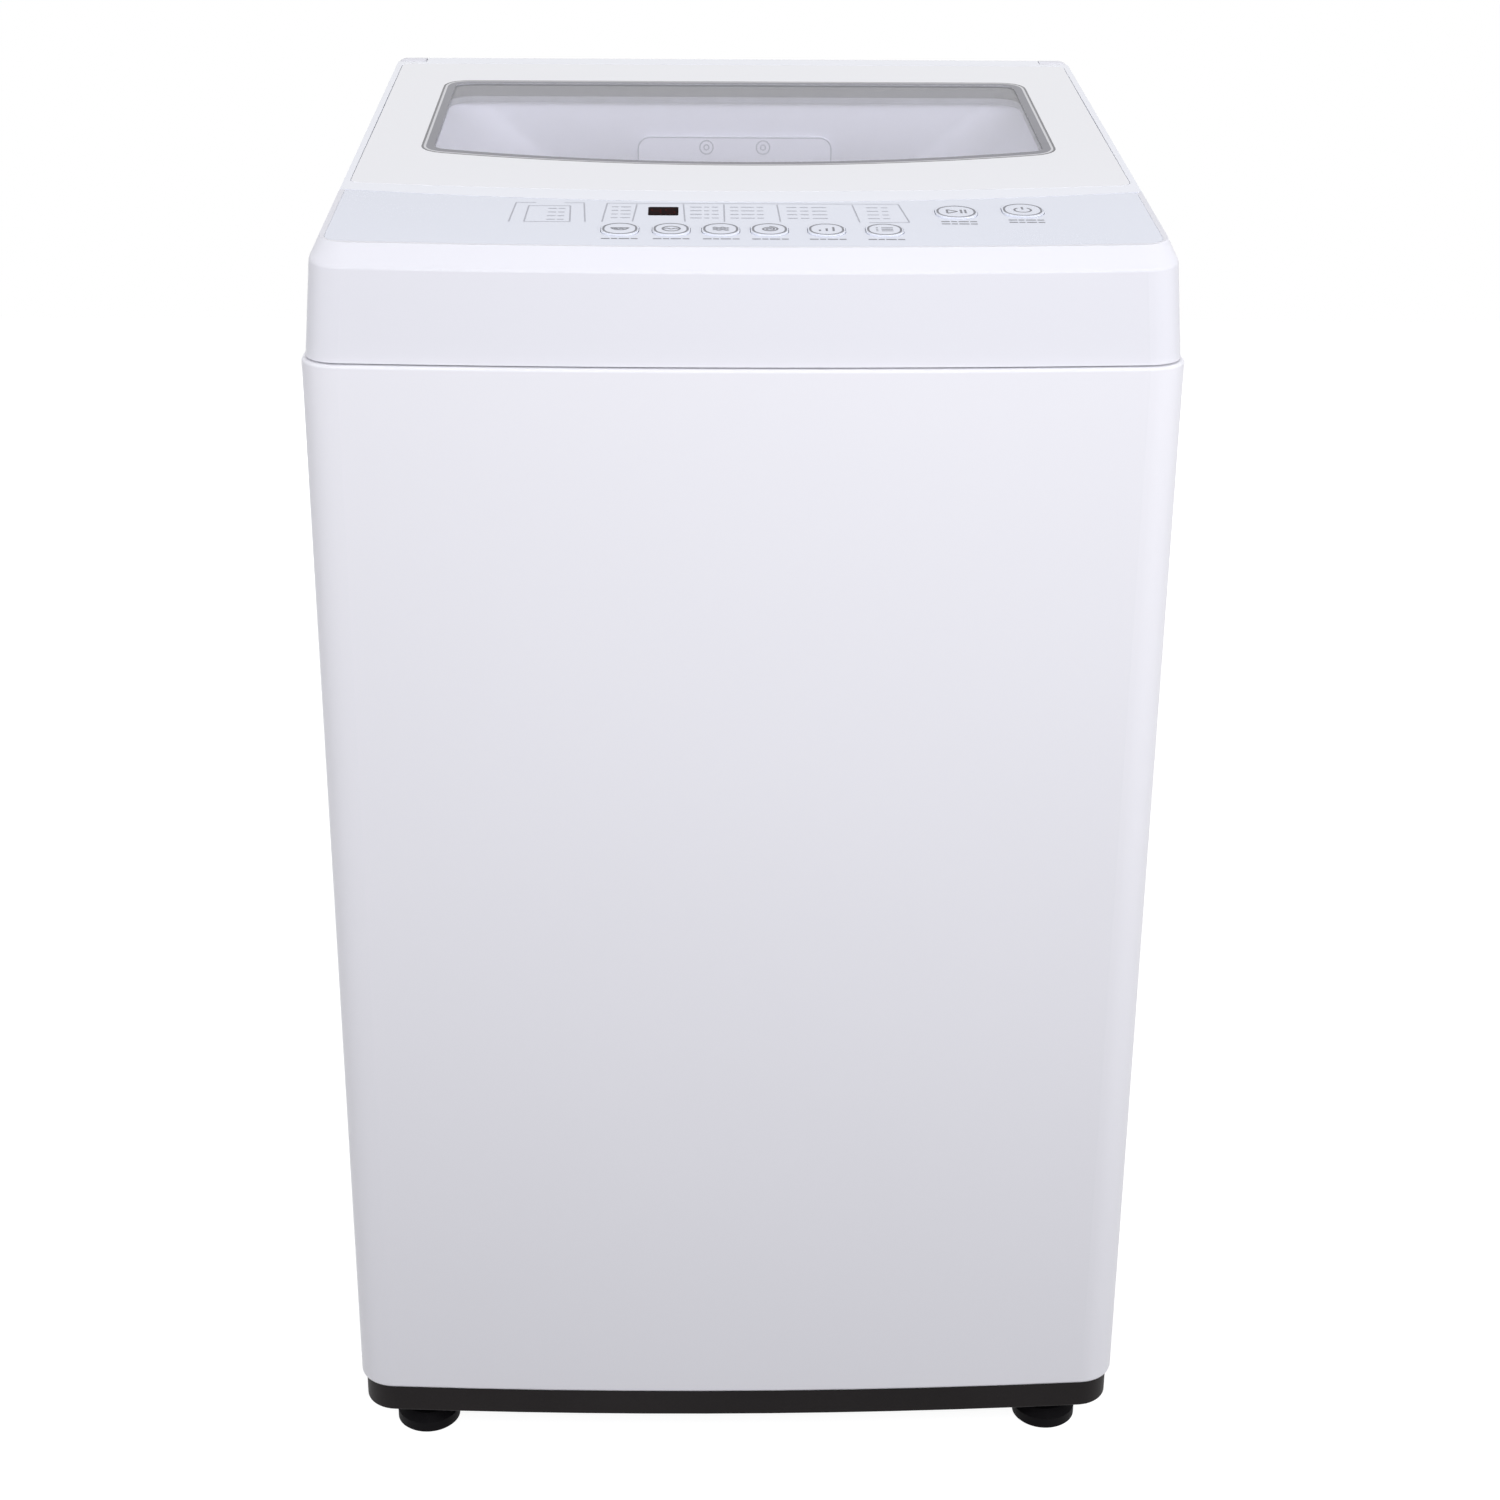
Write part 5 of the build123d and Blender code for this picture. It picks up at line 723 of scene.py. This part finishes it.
class WASHER_OT_mouldings(bpy.types.Operator):
    """Finishes of the top frame, lid frame, fascia, buttons, drawer and inner mouldings"""

    bl_idname = "washer.mouldings"
    bl_label = "Mouldings"

    def execute(self, context):
        colours = context.scene.washer_colours
        dress({
            "top_plastic": moulding(
                "Top frame satin", colours.top_white, gloss=0.38, shade=0.015, drift=3.0, pebble=700.0,
                strength=0.012),
            "fascia_plastic": moulding(
                "Fascia film", colours.fascia, gloss=0.25, shade=0.02, drift=5.0, pebble=1600.0,
                strength=0.05, coat=0.2),
            "button_plastic": moulding(
                "Key film", colours.fascia, gloss=0.25, shade=0.02, drift=20.0, pebble=1600.0,
                strength=0.05, coat=0.2),
            "display_dark": moulding(
                "Smoked window", (0.028, 0.019, 0.019), gloss=0.3, shade=0.3, drift=30.0, pebble=200.0,
                strength=0.01, shine=0.0),
            "lid_plastic": moulding(
                "Lid gloss", colours.lid_white, gloss=0.2, shade=0.015, drift=3.0, pebble=700.0,
                strength=0.03, coat=0.5),
            "drawer_plastic": moulding(
                "Drawer white", (0.93, 0.93, 0.98), gloss=0.25, shade=0.03, drift=8.0, pebble=800.0,
                strength=0.06, coat=0.15),
            "inner_plastic": moulding(
                "Natural polypropylene", (0.66, 0.66, 0.65), gloss=0.42, shade=0.08, drift=5.0, pebble=500.0,
                strength=0.12),
            "black_plastic": moulding(
                "Black moulding", (0.02, 0.02, 0.021), gloss=0.4, shade=0.3, drift=20.0, pebble=900.0, strength=0.15),
            "bumper_rubber": moulding(
                "Grey rubber", (0.42, 0.42, 0.45), gloss=0.6, shade=0.15, drift=40.0, pebble=1500.0, strength=0.2),
        })
        return {"FINISHED"}


class WASHER_OT_metals(bpy.types.Operator):
    """Finishes of the drum, shafts, brackets, castings, belt, motor and board"""

    bl_idname = "washer.metals"
    bl_label = "Drum, drive and board"

    def execute(self, context):
        dress({
            "steel": metal("Bright steel", (0.58, 0.58, 0.58), 0.28),
            "drum_steel": drum_metal("Drum steel with painted hole shade", (0.62, 0.62, 0.64)),
            "zinc_sheet": zinc("Galvanised sheet", (0.5, 0.51, 0.53)),
            "aluminium": metal("Die cast", (0.6, 0.6, 0.62), 0.45, (1.0, 1.0, 1.0), 240.0, 0.2, 0.12),
            "belt_rubber": ribbed("Ribbed belt", (0.024, 0.024, 0.025), 0.0017, 0.6),
            "motor_steel": ribbed("Lacquered core", (0.1, 0.1, 0.11), 0.0011, 0.42, metallic=0.3),
            "board_green": board("Coated board", (0.03, 0.16, 0.07)),
        })
        paint(frame["nodes"]["rear_screws"], slotted("Slotted screw with painted slot shade", (0.58, 0.58, 0.58)))
        return {"FINISHED"}


class WASHER_OT_glazing(bpy.types.Operator):
    """Lid glass with its white printed border, two thin lines, grey band and clear middle, and two rings of painted
    shade under the window's edge
    """

    bl_idname = "washer.glazing"
    bl_label = "Lid glazing"

    def execute(self, context):
        sizes, colours = context.scene.washer_sizes, context.scene.washer_colours
        plate = bowed_loop(
            sizes.glass_half, sizes.glass_front, GLASS_BOW, sizes.glass_rear, GLASS_CORNER, GLASS_CORNER)

        def window(inset, ease=1.0):
            return bowed_loop(
                sizes.window_half - inset, sizes.window_front + inset, WINDOW_BOW, sizes.window_rear - inset,
                ease * max(FRONT_CORNER - inset, LEAST_CORNER), ease * max(REAR_CORNER - inset, LEAST_CORNER),
            )

        first = sizes.line_width
        second = 2 * sizes.line_width
        third = second + sizes.band_width
        white = moulding(
            "Printed border", colours.border, gloss=0.12, shade=0.01, drift=3.0, pebble=500.0,
            strength=0.01, coat=0.6)
        grey = moulding(
            "Printed band", colours.band, gloss=0.2, shade=0.06, drift=6.0, pebble=500.0, strength=0.01, shine=0.35)
        dark = moulding(
            "Printed line", darker(colours.band, 0.45), gloss=0.2, shade=0.06, drift=6.0, pebble=500.0,
            strength=0.01, shine=0.35)
        pale = moulding(
            "Pale line", (0.5, 0.5, 0.54), gloss=0.14, shade=0.03, drift=6.0, pebble=500.0, strength=0.01, coat=0.6)
        border = ring_on_deck("lid_border", plate, window(0), PRINT_FOOT, 0, 0.0005)
        add_piece(border, "lid", white)
        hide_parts("lid_glass")
        outer_line = ring_on_deck("lid_outer_line", window(0), window(first), PRINT_FOOT, 0)
        add_piece(outer_line, "lid", dark)
        inner_line = ring_on_deck("lid_inner_line", window(first), window(second), PRINT_FOOT, 0)
        add_piece(inner_line, "lid", pale)
        band = ring_on_deck("lid_band", window(second), window(third), PANE_FOOT, 0, foot=PANE_SLANT)
        add_piece(band, "lid", grey)
        under_band = (1 - PANE_SLANT) * window(second) + PANE_SLANT * window(third)
        pane = plate_on_deck("lid_pane", under_band, window(third), PANE_FOOT, 0)
        add_piece(pane, "lid", clear_glass("Clear lid glass"))
        # Dark ring of painted shade just inside the window's edge: it stands for the shade in the lid frame's opening
        # and at the top of the throat's rear wall.
        painted_shade = moulding(
            "Painted shade ring", darker(colours.band, 0.36), gloss=0.5, shade=0.06, drift=6.0, pebble=500.0,
            strength=0.02, shine=0.1)
        walls = window(SHADE_RING_OUT, SHADE_RING_EASE), window(SHADE_RING_IN, SHADE_RING_EASE)
        shade_ring = ring_on_deck("lid_shade_ring", *walls, SHADE_RING_FOOT, SHADE_RING_TOP)
        add_piece(shade_ring, "lid", painted_shade)
        # Grey ring of painted shade below the first one, darkening the pale top of the throat's rear wall as seen
        # through the glass.
        shade_lip_finish = moulding(
            "Painted shade lip", (0.36, 0.36, 0.41), gloss=0.5, shade=0.2, drift=60.0, pebble=500.0, strength=0.1, shine=0.2)
        lip = ring_on_deck("lid_shade_lip", *walls, SHADE_LIP_FOOT, SHADE_RING_FOOT)
        add_piece(lip, "lid", shade_lip_finish)
        return {"FINISHED"}


class WASHER_OT_panel_print(bpy.types.Operator):
    """Printed boxes, rows and captions on the control panel, with no words"""

    bl_idname = "washer.panel_print"
    bl_label = "Panel print"

    def execute(self, context):
        colours = context.scene.washer_colours
        ink = moulding("Sign ink", colours.ink, gloss=0.4, shade=0.08, drift=60.0, pebble=2500.0, strength=0.03)
        washed_out = tuple(0.6 * a + 0.4 * b for a, b in zip(colours.ink, colours.fascia))
        faint = moulding("Faint ink and edge shade", washed_out, gloss=0.4, shade=0.05, drift=60.0, pebble=2500.0, strength=0.03)

        def on_panel(x, y):
            return on_deck(x * MM, y * MM, INK_LIFT)

        lines = [straight(*ends) for ends in (
            (-139, 53, -137, 95), (-96, 95, -94, 53), (-137, 95, -125, 95),
            (-108, 95, -96, 95),
            (-130, 53, -129, 88), (-129, 88, -104, 88), (-104, 88, -103, 53),
            (-103, 53, -130, 53),
            (-84, 53, -82, 94), (-82, 94, 94, 94), (94, 94, 98, 54), (98, 54, 74, 53),
            (-66, 54, -64, 92), (-36, 92, -35, 54), (-11.6, 92, -11.6, 54),
            (20.5, 92, 21.5, 54), (66, 92, 68.5, 54),
        )]
        rows = []
        for v in (86, 78, 70, 62):
            for x, lengths, gap in ((-79, (4, 6), 1.5), (-32, (7, 3, 4), 1.5), (-8, (5, 8, 4), 1.5),
                                    (26, (6, 5, 9), 2.0), (74, (7, 4), 2.0)):
                rows += word_line(x, v, lengths, gap)
            rows += word_line(-117, v - 4, (5, 4), 1.2)
        captions = []
        for key, (x, v, width, length) in KEYS.items():
            for row in range(2 if key in ("start", "power") else 1):
                captions += word_line(x - 10.5, v - length / 2 - 6 - 5 * row, (5, 3.5, 6, 4), 0.9)
        pieces = [
            stroke_sheet("panel_boxes", lines, 0.9, on_panel),
            stroke_sheet("panel_rows", rows, 1.5, on_panel),
            stroke_sheet("panel_captions", captions, 1.8, on_panel),
        ]
        for piece, finish in zip(pieces, (faint, faint, ink)):
            add_piece(piece, "cabinet", finish)
        return {"FINISHED"}


class WASHER_OT_key_signs(bpy.types.Operator):
    """A ring and a plain sign on each button, moving with it"""

    bl_idname = "washer.key_signs"
    bl_label = "Button signs"

    def execute(self, context):
        ink = bpy.data.materials["Sign ink"]
        width = context.scene.washer_sizes.stroke / MM
        for key, (x, v, key_width, key_length) in KEYS.items():
            def on_key(across, along, x=x, v=v):
                return on_deck((x + across) * MM, (v + along) * MM, KEY_RISE + INK_LIFT)

            ring = key_outline(key_width, key_length, key_width / 2, 1.4)
            sign = stroke_sheet("sign_" + key, [ring, *SIGNS[key]], width, on_key)
            add_piece(sign, "button_" + key, ink)
        return {"FINISHED"}


class WASHER_OT_display(bpy.types.Operator):
    """Two dim digits behind the display window"""

    bl_idname = "washer.display"
    bl_label = "Display digits"

    def execute(self, context):
        low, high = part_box("display_window")
        middle = (low.x + high.x) / 2 / MM
        along = ((low.y + high.y) / 2 - DECK_Y) / math.cos(SLOPE) / MM
        bars = [straight(*ends) for ends in (
            (-2.2, 5, 2.2, 5), (-2.6, 0.4, -2.6, 4.6), (2.6, 0.4, 2.6, 4.6),
            (-2.2, 0, 2.2, 0), (-2.6, -4.6, -2.6, -0.4), (2.6, -4.6, 2.6, -0.4),
            (-2.2, -5, 2.2, -5),
        )]
        strokes = []
        for place, digit in ((-4.2, "4"), (4.2, "5")):
            strokes += [bar + (place, 0) for bar, lit in zip(bars, DIGIT_BARS[digit]) if lit == "1"]
        glow, tree, shader = new_finish("Dim digit")
        grain = noise(tree, own_place(tree), 900.0)
        colours = blend_colours(tree, grain, (0.075, 0.02, 0.018), (0.05, 0.016, 0.014))
        tree.links.new(colours, shader.inputs["Base Color"])
        shader.inputs["Roughness"].default_value = 0.3
        shader.inputs["Specular IOR Level"].default_value = 0.0
        digits = stroke_sheet(
            "display_digits", strokes, 0.9,
            lambda x, y: on_deck((middle + x) * MM, (along + y) * MM, INK_LIFT),
        )
        add_piece(digits, "cabinet", glow)
        return {"FINISHED"}


class WASHER_OT_drawer_marks(bpy.types.Operator):
    """Two round marks and a thin edge line of painted shade on the drawer front"""

    bl_idname = "washer.drawer_marks"
    bl_label = "Drawer marks"

    def execute(self, context):
        low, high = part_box("detergent_drawer")
        face = low.y - INK_LIFT
        height = high.z / MM - 7.5
        strokes = []
        for x in (-20.5, 20.5):
            strokes += [arc(x, height, 4.8, 0, 360, 40), arc(x, height, 1.8, 0, 360, 24)]
        wide, tall = (high.x - low.x) / MM, (high.z - low.z) / MM
        # Thin line just inside the edge of the front: painted shade along the plate's edge, in the faint ink.
        strokes.append(key_outline(wide, tall, 9.0, 0.6) + (0, (low.z + high.z) / 2 / MM))
        marks = stroke_sheet(
            "drawer_marks", strokes, 0.9,
            lambda x, z: np.stack([x * MM, np.full_like(x, face), z * MM], axis=-1),
        )
        add_piece(marks, "detergent_drawer", bpy.data.materials["Faint ink and edge shade"])
        return {"FINISHED"}


class WASHER_OT_stage(bpy.types.Operator):
    """Pale floor, soft lamps, white surround and the camera"""

    bl_idname = "washer.stage"
    bl_label = "Studio"

    def execute(self, context):
        studio = context.scene.washer_studio
        self.lay_floor()
        self.hang_lamps(studio)
        self.light_world(studio)
        self.set_camera(studio)
        context.scene.view_settings.view_transform = "Standard"
        return {"FINISHED"}

    def seen_rays(self, tree):
        """1 where the background itself is seen, straight or through glass and gloss."""
        rays = node(tree, "ShaderNodeLightPath", (-600, 200))
        straight_on = calc(tree, "MAXIMUM", rays.outputs["Is Camera Ray"], rays.outputs["Is Glossy Ray"])
        return calc(tree, "MAXIMUM", straight_on, rays.outputs["Is Transmission Ray"])

    def lay_floor(self):
        """A large flat sheet under the feet: a grid of points at height nought. It is white where it lies open,
        in plain shade under the machine, and clear when it is seen from below."""
        reach = np.linspace(-FLOOR_REACH, FLOOR_REACH, 7)
        x, y = np.meshgrid(reach, reach)
        floor = put_mesh("studio_floor", np.stack([x, y, np.zeros_like(x)], axis=-1), grid_faces(7, 7))
        finish = bpy.data.materials.new("Pale floor")
        finish.use_nodes = True
        tree = finish.node_tree
        tree.nodes.clear()
        bounce = node(tree, "ShaderNodeBsdfDiffuse", (-200, 0))
        bounce.inputs["Color"].default_value = (0.07, 0.07, 0.075, 1.0)
        seen = node(tree, "ShaderNodeBsdfDiffuse", (-200, -160))
        seen.inputs["Color"].default_value = (0.3, 0.3, 0.3, 1.0)
        white = node(tree, "ShaderNodeEmission", (-200, -320))
        at = split(tree, own_place(tree))
        open_x = spread(tree, calc(tree, "ABSOLUTE", at["X"]), *SHADE_X, 0.0, 1.0)
        from_middle = calc(tree, "SUBTRACT", at["Y"], SHADE_MIDDLE_Y)
        open_y = spread(tree, calc(tree, "ABSOLUTE", from_middle), *SHADE_Y, 0.0, 1.0)
        open_air = calc(tree, "MAXIMUM", open_x, open_y)
        tree.links.new(spread(tree, open_air, 0.0, 1.0, 0.0, FLOOR_GLOW), white.inputs["Strength"])
        soft = node(tree, "ShaderNodeAddShader", (0, -200))
        both = node(tree, "ShaderNodeMixShader", (200, 0))
        face = node(tree, "ShaderNodeNewGeometry", (200, 200))
        clear = node(tree, "ShaderNodeBsdfTransparent", (200, -200))
        sides = node(tree, "ShaderNodeMixShader", (400, 0))
        out = node(tree, "ShaderNodeOutputMaterial", (600, 0))
        tree.links.new(seen.outputs["BSDF"], soft.inputs[0])
        tree.links.new(white.outputs["Emission"], soft.inputs[1])
        tree.links.new(self.seen_rays(tree), both.inputs["Fac"])
        tree.links.new(bounce.outputs["BSDF"], both.inputs[1])
        tree.links.new(soft.outputs["Shader"], both.inputs[2])
        tree.links.new(face.outputs["Backfacing"], sides.inputs["Fac"])
        tree.links.new(both.outputs["Shader"], sides.inputs[1])
        tree.links.new(clear.outputs["BSDF"], sides.inputs[2])
        tree.links.new(sides.outputs["Shader"], out.inputs["Surface"])
        floor.data.materials.append(finish)

    def hang_lamp(self, name, place, target, size, power, colour):
        """One rectangular lamp aimed at a point, not seen by the camera or in reflections."""
        lamp = bpy.data.lights.new(name, "AREA")
        lamp.shape = "RECTANGLE"
        lamp.size, lamp.size_y = size
        lamp.energy = power
        lamp.color = colour
        holder = bpy.data.objects.new(name, lamp)
        holder.location = place
        holder.rotation_euler = (Vector(target) - Vector(place)).to_track_quat("-Z", "Y").to_euler()
        holder.visible_camera = False
        holder.visible_glossy = False
        bpy.context.scene.collection.objects.link(holder)

    def hang_lamps(self, studio):
        """A large lamp before the front, one above the rear, a tall one at each side and a wide one behind."""
        cool = (0.97, 0.97, 1.0)
        self.hang_lamp("key_lamp", (0.2, -1.9, 1.42), (0.0, 0.0, 0.75), (1.8, 1.1), studio.key_power, cool)
        self.hang_lamp("top_lamp", (0.0, 0.75, 2.3), (0.0, 0.1, 0.85), (1.6, 1.0), studio.top_power, cool)
        for side in (-1, 1):
            self.hang_lamp(
                "left_lamp" if side < 0 else "right_lamp", (side * 2.4, -0.4, 1.25), (0.0, 0.0, 0.6), (1.0, 1.6),
                studio.side_power * (1 + 0.15 * side), cool)
        self.hang_lamp("rear_lamp", (0.0, 2.6, 0.7), (0.0, 0.26, 0.45), (2.4, 0.9), studio.rear_power, cool)

    def light_world(self, studio):
        """Even pale light from all round, white where it is seen."""
        world = bpy.data.worlds.new("Studio surround")
        bpy.context.scene.world = world
        world.use_nodes = True
        tree = world.node_tree
        tree.nodes.clear()
        sky = node(tree, "ShaderNodeBackground", (-100, 0))
        sky.inputs["Color"].default_value = (0.96, 0.96, 1.0, 1.0)
        sky.inputs["Strength"].default_value = studio.sky
        white = node(tree, "ShaderNodeBackground", (-100, -160))
        white.inputs["Color"].default_value = (1.0, 1.0, 1.0, 1.0)
        both = node(tree, "ShaderNodeMixShader", (120, 0))
        out = node(tree, "ShaderNodeOutputWorld", (320, 0))
        tree.links.new(self.seen_rays(tree), both.inputs["Fac"])
        tree.links.new(sky.outputs["Background"], both.inputs[1])
        tree.links.new(white.outputs["Background"], both.inputs[2])
        tree.links.new(both.outputs["Shader"], out.inputs["Surface"])

    def set_camera(self, studio):
        """The camera stands in front, looks down and is turned and tilted a little."""
        ahead = Vector((math.sin(YAW) * math.cos(PITCH), math.cos(YAW) * math.cos(PITCH), -math.sin(PITCH)))
        level = Vector((math.cos(YAW), -math.sin(YAW), 0.0))
        upward = level.cross(ahead)
        right = math.cos(ROLL) * level + math.sin(ROLL) * upward
        top = -math.sin(ROLL) * level + math.cos(ROLL) * upward
        lens = bpy.data.cameras.new("photo_camera")
        lens.sensor_width = SENSOR
        lens.lens = studio.lens
        camera = bpy.data.objects.new("photo_camera", lens)
        turn = Matrix((right, top, -ahead)).transposed().to_4x4()
        camera.matrix_world = Matrix.Translation(CAMERA_PLACE) @ turn
        bpy.context.scene.collection.objects.link(camera)
        bpy.context.scene.camera = camera


OPERATORS = (
    WASHER_OT_cabinet,
    WASHER_OT_mouldings,
    WASHER_OT_metals,
    WASHER_OT_glazing,
    WASHER_OT_panel_print,
    WASHER_OT_key_signs,
    WASHER_OT_display,
    WASHER_OT_drawer_marks,
    WASHER_OT_stage,
)


class VIEW3D_PT_washer(bpy.types.Panel):
    """Lists the washer's operators and settings."""

    bl_label = "Washer"
    bl_idname = "VIEW3D_PT_washer"
    bl_space_type = "VIEW_3D"
    bl_region_type = "UI"
    bl_category = "Washer"

    def draw(self, context):
        for operator in OPERATORS:
            self.layout.operator(operator.bl_idname)
        for group in (context.scene.washer_colours, context.scene.washer_sizes, context.scene.washer_studio):
            column = self.layout.column()
            for name in group.__annotations__:
                column.prop(group, name)


CLASSES = (WasherColours, WasherSizes, WasherStudio, *OPERATORS, VIEW3D_PT_washer)


def register():
    """Register the classes and hang the settings on the scene."""
    for each in CLASSES:
        bpy.utils.register_class(each)
    bpy.types.Scene.washer_colours = bpy.props.PointerProperty(type=WasherColours)
    bpy.types.Scene.washer_sizes = bpy.props.PointerProperty(type=WasherSizes)
    bpy.types.Scene.washer_studio = bpy.props.PointerProperty(type=WasherStudio)


def unregister():
    """Take the settings off the scene and the classes back."""
    del bpy.types.Scene.washer_studio
    del bpy.types.Scene.washer_sizes
    del bpy.types.Scene.washer_colours
    for each in reversed(CLASSES):
        bpy.utils.unregister_class(each)


def main():
    """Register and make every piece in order."""
    register()
    bpy.ops.washer.cabinet()
    bpy.ops.washer.mouldings()
    bpy.ops.washer.metals()
    bpy.ops.washer.glazing()
    bpy.ops.washer.panel_print()
    bpy.ops.washer.key_signs()
    bpy.ops.washer.display()
    bpy.ops.washer.drawer_marks()
    bpy.ops.washer.stage()


if __name__ == "__main__":
    main()
